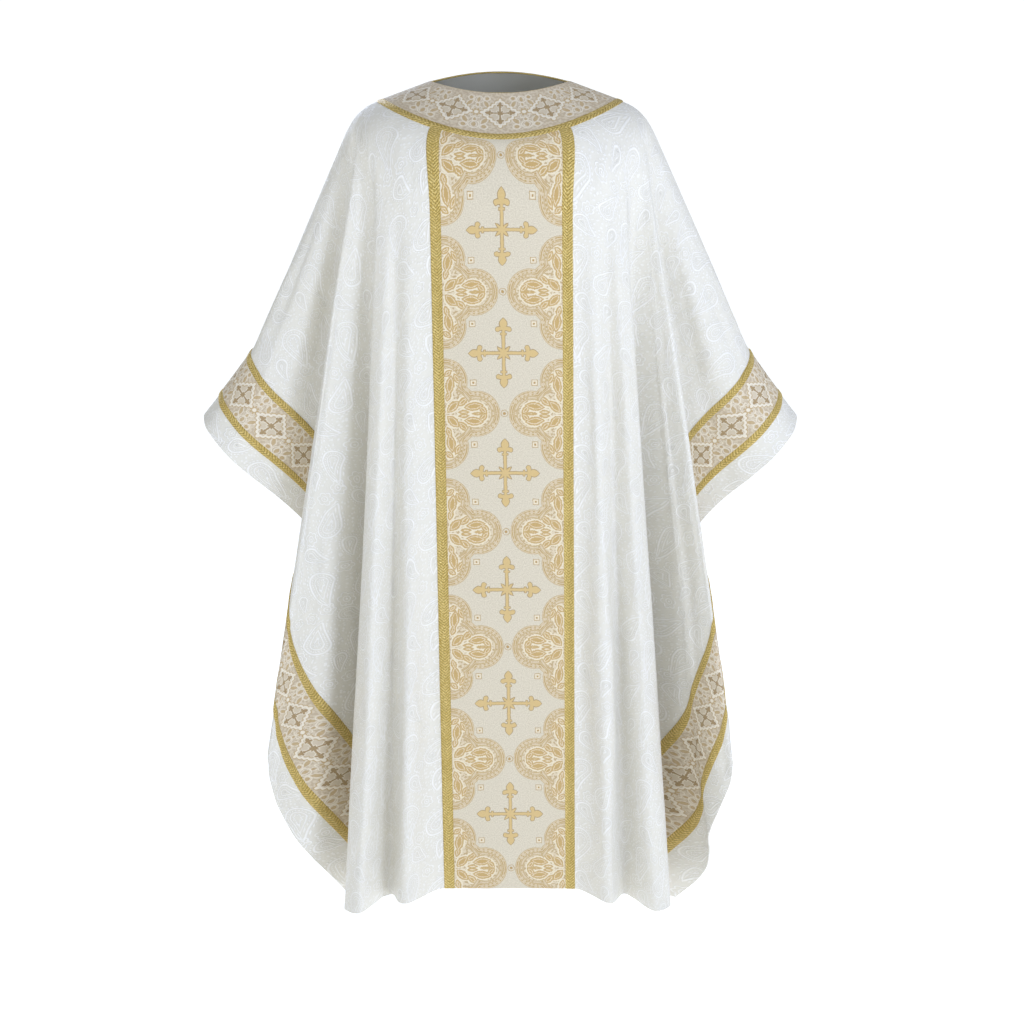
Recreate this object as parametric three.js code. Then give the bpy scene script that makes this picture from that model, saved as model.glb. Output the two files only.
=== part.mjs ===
// Monastic chasuble: a wide, poncho-like vestment of two panels joined on the shoulders, shown as it
// hangs over a wearer whose arms are a little lowered. Millimetres, +Z up, the front faces -Y and
// the origin is mid-way between the shoulders at the neck edge.
//
// Each panel is a flat pattern hung by a rule: a line of the cloth starts at the neck edge, crosses
// the yoke, comes to its knee on chest or shoulder, and from there hangs straight in one direction.
// The tables below give the pattern place, the knee and the direction of chosen lines; the
// cloth between two of them is a smooth curve, so crests and valleys are folds.
import * as THREE from "three";

// ---- Driving dimensions -------------------------------------------------------------------
const NECK_HALF_WIDTH = 113;
const NECK_DROP = { front: 70, back: 28 };
const SEAM_ANGLE = 70; // the shoulder seam of the flat pattern, degrees from straight down
const HALF_WIDTH = 758; // centre line to side edge, flat
const LENGTH = { front: 1398, back: 1385 }; // neck point to hem on the centre line, flat
const CORNER_RISE = 84; // how much the hem curves up at the side edge
const RISE_POWER = 2.5; // the hem rises as this power of the distance from the centre line
const YOKE_WIDTH = 92;
const BRAID_WIDTH = 12;
const BAND_FROM_EDGE = 38; // plain cloth outside the side band
const BAND_WIDTH = 88; // side band with its two braids
const WALL = 2.0; // panel cloth
const TRIM_WALL = 1.2; // yoke, orphrey, bands and braids
const SEAM_GAP = 0.3;

// The neck edge as worn: a tilted ring, lower in front than behind.
const NECK_RING = { centre: 3, frontDepth: 66, backDepth: 74, frontDip: 20, backRise: 18 };
// Slope of the yoke as worn, degrees below level, at the shoulder and what front and back add.
const YOKE_SLOPE = { side: 20, front: 32, back: 14 };
const SWAY = { share: 0.015, from: -40, width: 260 }; // sideways drift of the middle, down the body
// The arc from yoke to knee: length of its arms as shares of the gap, the yoke's arm being shorter
// by the centre line, where the cloth turns down at once.
const ARC = { reach: 0.4, atCentre: 0.25 };
// The cuff flares from a little above its band: how far above, how softly, and how much it rises.
const CUFF = { above: 15, soft: 30, rise: 0.35 };

// ---- Lines of the cloth, one row each -----------------------------------------------------
// neck: angle round the neck edge from centre front; s, t: flat place of the knee; phi: flat
// direction below the knee from straight down; x, y, z: the knee as worn; out, back: sideways
// and backward run for each unit down; kick: flare of the cuff; steps: facets to the next row.
const COLUMNS = ["name", "neck", "s", "t", "phi", "x", "y", "z", "out", "back", "kick", "steps"];
const FRONT_LINES = [
  ["centre",      0.0,   0, 270,  0.0,   0, -140, -205, 0.000, -0.005, 0.00, 2],
  ["braid_edge", 30.8,  95, 264,  0.0,  95, -138, -201, -0.001, -0.004, 0.00, 1],
  ["column_edge", 36.9, 112, 262, 0.0, 112, -137, -200, -0.001, -0.004, 0.00, 3],
  ["crest_1",    45.0, 143, 240,  2.1, 142, -132, -188, 0.024, -0.046, 0.00, 3],
  ["dip_1",      51.0, 163, 215,  5.2, 162, -125, -173, 0.034,  0.002, 0.00, 3],
  ["crest_2",    57.0, 180, 195,  8.4, 177, -117, -159, 0.058, -0.062, 0.00, 2],
  ["turn_2",     62.0, 193, 180, 10.2, 188, -111, -149, 0.068, -0.040, 0.00, 4],
  ["valley",     67.0, 210, 158, 17.0, 203,  -99, -135, -0.018, 0.058, 0.00, 2],
  ["valley_2",   69.0, 214, 153, 20.4, 207,  -96, -131, -0.010, 0.090, 0.00, 2],
  ["tuck",       71.0, 218, 148, 23.1, 211,  -92, -127, 0.024,  0.092, 0.00, 3],
  ["corner",     74.0, 226, 140, 24.9, 218,  -84, -120, 0.054,  0.038, 0.00, 3],
  ["flank",      76.0, 232, 133, 27.6, 223,  -78, -114, 0.124, -0.034, 0.00, 2],
  ["ridge",      78.0, 238, 126, 31.0, 228,  -72, -108, 0.163, -0.084, 0.00, 2],
  ["ridge_2",    79.0, 240, 123, 34.0, 230,  -68, -106, 0.165, -0.058, 0.00, 4],
  ["inner",      82.0, 246, 114, 46.0, 236,  -54, -100, 0.075,  0.072, 0.00, 4],
  ["sleeve",     84.0, 254, 102, 57.0, 242,  -40,  -95, 0.230,  0.020, 0.00, 3],
  ["arm_front",  86.0, 264,  90, 64.0, 248,  -26,  -92, 0.385, -0.050, 0.12, 2],
  ["arm_top",    88.0, 272,  76, 67.5, 253,  -12,  -91, 0.440, -0.042, 0.20, 1],
  ["seam",       90.0, 279, 60.5, 70.0, 256,   3,  -92, 0.460,  0.000, 0.24, 1],
];
const BACK_LINES = [
  ["arm_top_b",  92.0, 272,  76, 67.5, 253,   18,  -91, 0.440,  0.042, 0.20, 2],
  ["arm_back",   94.0, 264,  90, 64.0, 248,   32,  -92, 0.385,  0.060, 0.12, 3],
  ["sleeve_b",   97.0, 254, 102, 56.0, 242,   47,  -95, 0.230,  0.006, 0.00, 4],
  ["inner_b",   100.0, 246, 114, 45.0, 236,   62, -100, 0.075, -0.042, 0.00, 4],
  ["ridge_2b",  104.0, 239, 123, 33.0, 229,   76, -106, 0.182,  0.082, 0.00, 2],
  ["ridge_b",   105.5, 236, 127, 30.0, 226,   81, -108, 0.176,  0.106, 0.00, 4],
  ["corner_b",  109.0, 226, 140, 23.6, 216,   92, -120, 0.078,  0.024, 0.00, 2],
  ["tuck_b",    112.5, 217, 149, 19.0, 208,   99, -127, 0.028, -0.034, 0.00, 3],
  ["valley_b",  115.0, 209, 157, 15.0, 202,  104, -131, 0.002, -0.012, 0.00, 4],
  ["turn_b",    119.0, 196, 165, 11.0, 190,  112, -138, 0.070,  0.045, 0.00, 2],
  ["crest_b",   125.0, 178, 180,  8.2, 172,  119, -146, 0.045,  0.075, 0.00, 3],
  ["dip_b",     133.0, 152, 190,  4.5, 148,  124, -150, 0.028,  0.010, 0.00, 3],
  ["crest_c",   139.0, 128, 196,  1.5, 124,  127, -152, 0.010,  0.050, 0.00, 2],
  ["column_b",  143.1, 112, 200,  0.0, 110,  128, -153, 0.002,  0.012, 0.00, 1],
  ["braid_b",   149.2,  95, 201,  0.0,  93.5,  128, -153, 0.002,  0.012, 0.00, 2],
  ["centre_b",  180.0,   0, 205,  0.0,   0,  130, -155, 0.000,  0.012, 0.00, 1],
];
// Folds that hang differently on the wearer's left: what is added to the lines there.
const LEFT_SIDE = {
  crest_2: { out: 0.006, back: 0.008 },
  turn_2: { out: 0.008, back: 0.010 },
  valley: { out: 0.010, back: 0.006 },
  corner: { out: 0.018, back: -0.010, kick: 0.05 },
  flank: { out: -0.010 },
  ridge: { out: -0.008 },
  ridge_2: { out: -0.008 },
  inner: { out: 0.014, back: 0.004 },
  crest_b: { out: 0.010, back: -0.012 },
  ridge_b: { out: -0.010, back: 0.006 },
  ridge_2b: { out: -0.010, back: 0.006 },
};

// ---- Materials ----------------------------------------------------------------------------
const DAMASK = new THREE.MeshStandardMaterial({ color: 0xe9e8df, roughness: 0.55, metalness: 0 });
const BROCADE = new THREE.MeshStandardMaterial({ color: 0xe0d5c0, roughness: 0.6, metalness: 0.05 });
const YOKE_BROCADE = new THREE.MeshStandardMaterial({ color: 0xcdb89f, roughness: 0.6, metalness: 0.05 });
const BRAID = new THREE.MeshStandardMaterial({ color: 0xcfae5c, roughness: 0.45, metalness: 0.3 });

const radians = THREE.MathUtils.degToRad;
const mix = (a, b, u) => a + (b - a) * u;

// ---- The lines as numbers -----------------------------------------------------------------
const toLine = (row) => Object.fromEntries(COLUMNS.map((key, i) => [key, row[i]]));
const LINES = [...FRONT_LINES, ...BACK_LINES].map(toLine);
const SEAM_INDEX = FRONT_LINES.length - 1;
const LEVEL_ENDS = ["neck", "s", "phi", "x", "out"]; // odd across the centre line, the rest even

function sideLines(side) {
  if (side < 0) return LINES;
  return LINES.map((line) => {
    const moved = { ...line };
    for (const [key, shift] of Object.entries(LEFT_SIDE[line.name] ?? {})) moved[key] += shift;
    return moved;
  });
}

// Depth of the hem below the neck point, at a distance from the centre line.
function hemAt(s, panel) {
  return LENGTH[panel] - CORNER_RISE * THREE.MathUtils.clamp(s / HALF_WIDTH, 0, 2) ** RISE_POWER;
}

// Distance along a line from its knee to the hem curve: the hem's formula, fed with its own result
// until it stands still.
const HEM_PASSES = 12;
function runToHem(line, panel) {
  const sin = Math.sin(radians(line.phi));
  const cos = Math.cos(radians(line.phi));
  let run = LENGTH[panel];
  for (let pass = 0; pass < HEM_PASSES; pass += 1) {
    run = Math.min((hemAt(line.s + run * sin, panel) - line.t) / cos, 2 * LENGTH[panel]);
  }
  return run;
}

// Distance along a line from its knee to an upright line inside the side edge.
function runToEdge(line, inset) {
  return (HALF_WIDTH - inset - line.s) / Math.max(Math.sin(radians(line.phi)), 1e-6);
}

function endRun(line, panel) {
  return Math.min(runToHem(line, panel), runToEdge(line, 0));
}

const panelOf = (index) => (index > SEAM_INDEX ? "back" : "front");

// Running length along hem and side edge, the measure that lines are sampled by.
const EDGE_LENGTH = (() => {
  const ends = LINES.map((line, index) => {
    const run = endRun(line, panelOf(index));
    const phi = radians(line.phi);
    return new THREE.Vector2(line.s + run * Math.sin(phi), line.t + run * Math.cos(phi));
  });
  const lengths = [0];
  for (let i = 1; i < ends.length; i += 1) {
    lengths.push(lengths[i - 1] + ends[i].distanceTo(ends[i - 1]));
  }
  return lengths;
})();
const SEAM_PLACE = EDGE_LENGTH[SEAM_INDEX];

// Slopes of the smooth curve through one column of the table: weighted means of the chords, held
// back where the next chord is flat. The pattern's own columns take the flatter harmonic mean, so
// that straight trims stay straight.
const MOST_SLOPE = 2.5; // steepest slope at a line, as a multiple of the flatter chord beside it
const PATTERN_KEYS = ["s", "t", "phi", "neck"];
function slopes(lines, key) {
  const chord = lines.slice(1).map((line, i) => {
    const rise = line[key] - lines[i][key];
    return rise / (EDGE_LENGTH[i + 1] - EDGE_LENGTH[i]);
  });
  const last = lines.length - 1;
  const monotone = PATTERN_KEYS.includes(key);
  return lines.map((line, i) => {
    if (i === 0 || i === last) {
      return LEVEL_ENDS.includes(key) ? chord[i === 0 ? 0 : last - 1] : 0;
    }
    const before = EDGE_LENGTH[i] - EDGE_LENGTH[i - 1];
    const after = EDGE_LENGTH[i + 1] - EDGE_LENGTH[i];
    if (monotone) {
      const product = chord[i - 1] * chord[i];
      return product > 0 ? (2 * product) / (chord[i - 1] + chord[i]) : 0;
    }
    const mean = (chord[i - 1] * after + chord[i] * before) / (before + after);
    const limit = MOST_SLOPE * Math.min(Math.abs(chord[i - 1]), Math.abs(chord[i]));
    return chord[i - 1] * chord[i] > 0 ? THREE.MathUtils.clamp(mean, -limit, limit) : mean;
  });
}

const CURVES = Object.fromEntries([-1, 1].map((side) => {
  const lines = sideLines(side);
  const keys = COLUMNS.filter((key) => key !== "name" && key !== "steps");
  return [side, Object.fromEntries(keys.map((key) => [
    key, { values: lines.map((line) => line[key]), slopes: slopes(lines, key) },
  ]))];
}));

// Cubic curve through the table's values, at a place along the edge.
function valueAt(curve, place) {
  let i = 0;
  while (i < EDGE_LENGTH.length - 2 && place > EDGE_LENGTH[i + 1]) i += 1;
  const step = EDGE_LENGTH[i + 1] - EDGE_LENGTH[i];
  const u = (place - EDGE_LENGTH[i]) / step;
  return (1 + 2 * u) * (1 - u) ** 2 * curve.values[i]
    + u * (1 - u) ** 2 * step * curve.slopes[i]
    + u * u * (3 - 2 * u) * curve.values[i + 1]
    + u * u * (u - 1) * step * curve.slopes[i + 1];
}

// ---- One line of cloth --------------------------------------------------------------------
function neckPoint(angle) {
  const cos = Math.cos(angle);
  const depth = cos > 0 ? NECK_RING.frontDepth : NECK_RING.backDepth;
  const lift = cos > 0 ? -NECK_RING.frontDip : NECK_RING.backRise;
  return new THREE.Vector3(
    NECK_HALF_WIDTH * Math.sin(angle), NECK_RING.centre - depth * cos, lift * cos ** 2);
}

function yokeDirection(angle) {
  const cos = Math.cos(angle);
  const slope = radians(YOKE_SLOPE.side + (cos > 0 ? YOKE_SLOPE.front : YOKE_SLOPE.back) * cos ** 2);
  return new THREE.Vector3(
    Math.sin(angle) * Math.cos(slope), -cos * Math.cos(slope), -Math.sin(slope));
}

// Flat place of the yoke's outer edge on the line that leaves the neck at an angle.
function yokeFlat(angle) {
  const cos = Math.cos(angle);
  const fromCentre = cos > 0 ? angle : Math.PI - angle;
  const turn = fromCentre * (SEAM_ANGLE / 90);
  const drop = cos > 0 ? NECK_DROP.front : NECK_DROP.back;
  return new THREE.Vector2(
    NECK_HALF_WIDTH * Math.sin(fromCentre) + YOKE_WIDTH * Math.sin(turn),
    drop * Math.cos(fromCentre) + YOKE_WIDTH * Math.cos(turn));
}

// A line of cloth at a place along the edge; side -1 is the wearer's right.
function clothLine(place, side, panel) {
  const curves = Object.entries(CURVES[side]);
  const line = Object.fromEntries(curves.map(([key, curve]) => [key, valueAt(curve, place)]));
  const angle = radians(line.neck);
  line.yokeArm = ARC.reach * mix(ARC.atCentre, 1, Math.sin(angle) ** 2);
  line.neckPoint = neckPoint(angle);
  line.yokeDirection = yokeDirection(angle);
  line.yokePoint = line.neckPoint.clone().addScaledVector(line.yokeDirection, YOKE_WIDTH);
  line.knee = new THREE.Vector3(line.x, line.y, line.z);
  line.direction = new THREE.Vector3(line.out, line.back, -1).normalize();
  line.toKnee = YOKE_WIDTH + yokeFlat(angle).distanceTo(new THREE.Vector2(line.s, line.t));
  line.end = line.toKnee + endRun(line, panel);
  line.cuffStart = line.toKnee + runToEdge(line, BAND_FROM_EDGE + BAND_WIDTH) - CUFF.above;
  return line;
}

// Point of the cloth's middle surface on a line, w being the flat distance from the neck edge: the
// yoke is straight, a cubic arc bends over chest or shoulder to the knee, and the rest hangs.
function clothPoint(line, side, w) {
  const point = new THREE.Vector3();
  if (w <= YOKE_WIDTH) {
    point.copy(line.neckPoint).addScaledVector(line.yokeDirection, w);
  } else {
    const u = Math.min((w - YOKE_WIDTH) / (line.toKnee - YOKE_WIDTH), 1);
    const gap = line.yokePoint.distanceTo(line.knee);
    point.addScaledVector(line.yokePoint, (1 - u) ** 3 + 3 * u * (1 - u) ** 2);
    point.addScaledVector(line.yokeDirection, 3 * u * (1 - u) ** 2 * gap * line.yokeArm);
    point.addScaledVector(line.knee, 3 * u * u * (1 - u) + u ** 3);
    point.addScaledVector(line.direction, -3 * u * u * (1 - u) * gap * ARC.reach);
  }
  point.addScaledVector(line.direction, Math.max(w - line.toKnee, 0));
  const flare = Math.max(w - line.cuffStart, 0);
  const kick = (line.kick * flare * flare) / (flare + CUFF.soft);
  point.x += kick;
  point.z += kick * CUFF.rise;
  point.x *= side;
  point.x += (SWAY.share * Math.max(SWAY.from - point.z, 0)) / (1 + (point.x / SWAY.width) ** 2);
  return point;
}

// ---- Sampling -----------------------------------------------------------------------------
const BAND_INSETS = [
  BAND_FROM_EDGE + BAND_WIDTH,
  BAND_FROM_EDGE + BAND_WIDTH - BRAID_WIDTH,
  BAND_FROM_EDGE + BRAID_WIDTH,
  BAND_FROM_EDGE,
];
const FALL_SHARES = [0.2, 0.4, 0.6, 0.8]; // rows between the knee and the band
const ROW = { neck: 0, yokeSeam: 1, yokeEdge: 2, chest: 3, knee: 4, band: 5 + FALL_SHARES.length };

// Row places along a line: neck, yoke, knee, fall, the band's four lines and the edge.
function rowPlaces(line) {
  const clamp = (w) => Math.min(w, line.end);
  const band = BAND_INSETS.map((inset) => clamp(line.toKnee + runToEdge(line, inset)));
  return [
    0, YOKE_WIDTH - BRAID_WIDTH, YOKE_WIDTH,
    mix(YOKE_WIDTH, line.toKnee, 0.5), line.toKnee,
    ...FALL_SHARES.map((share) => mix(line.toKnee, band[0], share)),
    ...band, line.end,
  ];
}

// Place whose line meets the hem at a distance from the side edge, by halving.
const HALVINGS = 40;
function placeAtHem(inset, panel) {
  let low = panel === "front" ? 0 : EDGE_LENGTH.at(-1);
  let high = SEAM_PLACE;
  for (let pass = 0; pass < HALVINGS; pass += 1) {
    const middle = (low + high) / 2;
    const line = clothLine(middle, -1, panel);
    const atHem = line.s + runToHem(line, panel) * Math.sin(radians(line.phi));
    if (atHem < HALF_WIDTH - inset) low = middle;
    else high = middle;
  }
  return low;
}

// Places of the sampled lines of one half panel, from the centre line to the shoulder seam. The
// lines nearest the band's corners are moved on to them.
function halfPlaces(panel) {
  const first = panel === "front" ? 0 : SEAM_INDEX;
  const last = panel === "front" ? SEAM_INDEX : LINES.length - 1;
  const places = [];
  for (let i = first; i < last; i += 1) {
    for (let k = 0; k < LINES[i].steps; k += 1) {
      places.push({ at: mix(EDGE_LENGTH[i], EDGE_LENGTH[i + 1], k / LINES[i].steps), fixed: false });
    }
  }
  places.push({ at: EDGE_LENGTH[last], fixed: true });
  for (const inset of [...BAND_INSETS, 0]) {
    const at = placeAtHem(inset, panel);
    const free = places.filter((place) => !place.fixed);
    free.sort((a, b) => Math.abs(a.at - at) - Math.abs(b.at - at));
    const [nearest] = free;
    nearest.at = at;
    nearest.fixed = true;
  }
  const sorted = places.map((place) => place.at).sort((a, b) => a - b);
  return panel === "front" ? sorted : sorted.reverse();
}

// All lines of one panel in order round the body, so that down x onward points outward.
function panelLines(panel) {
  const half = halfPlaces(panel);
  const onSide = (side) => half.map((at) => ({ at, side, line: clothLine(at, side, panel) }));
  const wearerRight = onSide(-1).reverse();
  const wearerLeft = onSide(1);
  wearerRight.pop(); // the centre line is in both
  const across = [...wearerRight, ...wearerLeft];
  return panel === "front" ? across : across.reverse();
}

// Outward normal of the cloth from small steps down and across it.
const NORMAL_STEP = 1.5;
function clothNormal({ at, side, line }, panel, w) {
  const before = clothLine(Math.max(at - NORMAL_STEP, 0), side, panel);
  const after = clothLine(Math.min(at + NORMAL_STEP, EDGE_LENGTH.at(-1)), side, panel);
  const across = clothPoint(after, side, w).sub(clothPoint(before, side, w));
  const down = clothPoint(line, side, w + NORMAL_STEP);
  down.sub(clothPoint(line, side, Math.max(w - NORMAL_STEP, 0)));
  return down.cross(across.multiplyScalar(side)).normalize();
}

// The sampled points of a panel with their normals; a row that falls on the hem shares its point.
const JOIN_DISTANCE = 0.4;
function samplePanel(panel) {
  return panelLines(panel).map((entry) => {
    const places = rowPlaces(entry.line);
    return places.map((w, row) => ({
      point: clothPoint(entry.line, entry.side, w),
      normal: clothNormal(entry, panel, w),
      joined: row > 0 && w - places[row - 1] < JOIN_DISTANCE,
    }));
  });
}

// ---- Walls --------------------------------------------------------------------------------
// Closed wall over a range of a sampled panel, from one height above its middle to another. The
// cells that have closed up on the hem are skipped, and each open side of a cell gets a rim.
function wall(samples, columns, rows, low, high) {
  const positions = [];
  const index = new Map();
  const vertex = (i, j, level) => {
    let row = j;
    while (row > rows[0] && samples[i][row].joined) row -= 1;
    const key = `${i},${row},${level}`;
    if (!index.has(key)) {
      const { point, normal } = samples[i][row];
      index.set(key, positions.length / 3);
      positions.push(...point.clone().addScaledVector(normal, level).toArray());
    }
    return index.get(key);
  };
  const triangles = [];
  const edges = new Map();
  const face = (a, b, c) => {
    if (a !== b && b !== c && c !== a) triangles.push(a, b, c);
  };
  for (let i = columns[0]; i < columns[1]; i += 1) {
    for (let j = rows[0]; j < rows[1]; j += 1) {
      const corners = [[i, j], [i, j + 1], [i + 1, j + 1], [i + 1, j]];
      const outer = corners.map(([a, b]) => vertex(a, b, high));
      const inner = corners.map(([a, b]) => vertex(a, b, low));
      if (new Set(outer).size < 3) continue;
      face(outer[0], outer[1], outer[2]);
      face(outer[0], outer[2], outer[3]);
      face(inner[0], inner[2], inner[1]);
      face(inner[0], inner[3], inner[2]);
      for (let k = 0; k < 4; k += 1) {
        const next = (k + 1) % 4;
        if (outer[k] === outer[next]) continue;
        const back = `${outer[next]},${outer[k]}`;
        if (edges.has(back)) {
          edges.delete(back);
          continue;
        }
        const forward = k < 2; // down the first line and along the last row
        edges.set(`${outer[k]},${outer[next]}`, [outer[k], outer[next], inner[k], inner[next], forward]);
      }
    }
  }
  // Both pieces at a seam split its rim the same way, so that a twisted rim can't cross.
  for (const [outerA, outerB, innerA, innerB, forward] of edges.values()) {
    if (forward) {
      face(outerA, innerA, innerB);
      face(outerA, innerB, outerB);
    } else {
      face(outerA, innerA, outerB);
      face(innerA, innerB, outerB);
    }
  }
  const geometry = new THREE.BufferGeometry();
  geometry.setAttribute("position", new THREE.Float32BufferAttribute(positions, 3));
  geometry.setIndex(triangles);
  geometry.computeVertexNormals();
  return geometry;
}

// Half the seam gap is taken off the last line on each shoulder.
function openShoulderSeams(samples) {
  const pull = (edge, neighbour) => edge.forEach((sample, row) => {
    const inward = neighbour[row].point.clone().sub(sample.point).normalize();
    sample.point.addScaledVector(inward, SEAM_GAP / 2);
  });
  pull(samples[0], samples[1]);
  pull(samples.at(-1), samples.at(-2));
}

// ---- Pieces -------------------------------------------------------------------------------
const chasuble = new THREE.Group();

function addPiece(name, geometry, material) {
  const mesh = new THREE.Mesh(geometry, material);
  mesh.name = name;
  chasuble.add(mesh);
}

const TRIM = { low: WALL / 2 + SEAM_GAP, high: WALL / 2 + SEAM_GAP + TRIM_WALL };

// Trims meet edge to edge, so each one's first and last rows, and its first and last lines, are
// drawn in by half the gap. Rows that have closed up on the hem stay where they are.
const CLOSED_UP = 1;
function insetRows(samples, rows) {
  return samples.map((column) => column.map((sample, row) => {
    if (row !== rows[0] && row !== rows[1]) return sample;
    const other = column[row === rows[0] ? row + 1 : row - 1];
    const shift = other.point.clone().sub(sample.point);
    if (shift.length() < CLOSED_UP) return sample;
    const point = sample.point.clone().addScaledVector(shift.normalize(), SEAM_GAP / 2);
    return { ...sample, point };
  }));
}

function insetColumns(samples, columns) {
  return samples.map((column, i) => {
    if (i !== columns[0] && i !== columns[1]) return column;
    const other = samples[i === columns[0] ? i + 1 : i - 1];
    return column.map((sample, row) => {
      const shift = other[row].point.clone().sub(sample.point).normalize();
      return { ...sample, point: sample.point.clone().addScaledVector(shift, SEAM_GAP / 2) };
    });
  });
}

function addTrim(name, samples, columns, rows, material) {
  const drawn = insetColumns(insetRows(samples, rows), columns);
  addPiece(name, wall(drawn, columns, rows, TRIM.low, TRIM.high), material);
}

for (const panel of ["front", "back"]) {
  const samples = samplePanel(panel);
  openShoulderSeams(samples);
  const lastLine = samples.length - 1;
  const lastRow = samples[0].length - 1;
  const wholeWidth = [0, lastLine];
  addPiece(`${panel}_panel`, wall(samples, wholeWidth, [0, lastRow], -WALL / 2, WALL / 2), DAMASK);

  addTrim(`${panel}_yoke`, samples, wholeWidth, [ROW.neck, ROW.yokeSeam], YOKE_BROCADE);
  addTrim(`${panel}_yoke_braid`, samples, wholeWidth, [ROW.yokeSeam, ROW.yokeEdge], BRAID);

  // The orphrey runs from the yoke to the hem between two braids.
  const centre = lastLine / 2;
  const braidLine = LINES[panel === "front" ? 0 : LINES.length - 2].steps;
  const fall = [ROW.yokeEdge, lastRow];
  addTrim(`${panel}_orphrey`, samples, [centre - braidLine, centre + braidLine], fall, BROCADE);
  const left = panel === "front" ? 1 : -1;
  for (const [side, name] of [[left, "left"], [-left, "right"]]) {
    const inner = centre + side * braidLine;
    const span = [Math.min(inner, inner + side), Math.max(inner, inner + side)];
    addTrim(`${panel}_orphrey_braid_${name}`, samples, span, fall, BRAID);
  }

  // The side bands run from the shoulder seam down the side edge to the hem.
  for (const [name, columns] of [
    [left > 0 ? "right" : "left", [0, centre]],
    [left > 0 ? "left" : "right", [centre, lastLine]],
  ]) {
    const [outer, inner] = [ROW.band + 2, ROW.band + 1];
    addTrim(`${panel}_band_${name}`, samples, columns, [inner, outer], YOKE_BROCADE);
    addTrim(`${panel}_band_braid_in_${name}`, samples, columns, [ROW.band, inner], BRAID);
    addTrim(`${panel}_band_braid_out_${name}`, samples, columns, [outer, outer + 1], BRAID);
  }
}

export default chasuble;
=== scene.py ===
"""Looks of a monastic chasuble, worn and hollow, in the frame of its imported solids.

Every piece of cloth is a thin shell on the form of its solid. The flat pattern hangs by a rule: a
strand of the cloth starts at the neck edge, crosses the yoke, comes to its knee on chest or shoulder
and from there falls straight in one direction. A place is the running length along hem and side edge
where a strand ends, w is the flat distance from the neck edge, and s and t are the flat distances
sideways from the centre line and down from the neck point. These four are in millimetres.
"""

import functools
import logging
import math
from dataclasses import dataclass, field
from enum import Enum

import bpy
import numpy as np
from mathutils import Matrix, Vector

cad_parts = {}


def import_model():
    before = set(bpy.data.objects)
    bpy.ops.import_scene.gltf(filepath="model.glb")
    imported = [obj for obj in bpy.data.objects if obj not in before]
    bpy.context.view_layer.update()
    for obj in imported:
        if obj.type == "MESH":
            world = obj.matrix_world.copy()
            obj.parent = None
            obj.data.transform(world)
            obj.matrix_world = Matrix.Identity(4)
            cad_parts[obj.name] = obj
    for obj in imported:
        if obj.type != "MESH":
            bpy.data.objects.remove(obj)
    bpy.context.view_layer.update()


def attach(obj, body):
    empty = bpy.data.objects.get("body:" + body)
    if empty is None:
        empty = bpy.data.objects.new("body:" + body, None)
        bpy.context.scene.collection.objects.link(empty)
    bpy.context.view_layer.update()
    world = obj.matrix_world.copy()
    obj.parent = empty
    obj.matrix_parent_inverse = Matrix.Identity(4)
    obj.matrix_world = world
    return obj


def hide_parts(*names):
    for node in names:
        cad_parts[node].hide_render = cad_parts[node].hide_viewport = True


LOG = logging.getLogger("chasuble")
METRES = 0.001  # metres in a millimetre
UV_NAME = "cloth"  # name of the cloth's own coordinates on a mesh
SHARP_ANGLE = 55.0  # degrees above which an edge of a mesh is sharp
CORD_SIDES = 10  # flats round a cord
TURN = 2 * math.pi  # radians in a full turn

Array = np.ndarray
Colour = tuple[float, float, float]
DAYLIGHT: Colour = (0.94, 0.97, 1.0)  # tint of the surroundings and of the floor's glow


class Panel(Enum):
    """The two panels, joined on the shoulders."""

    FRONT = "front"
    BACK = "back"


class Side(Enum):
    """The wearer's sides; the value is the sign of x."""

    RIGHT = -1
    LEFT = 1


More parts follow.
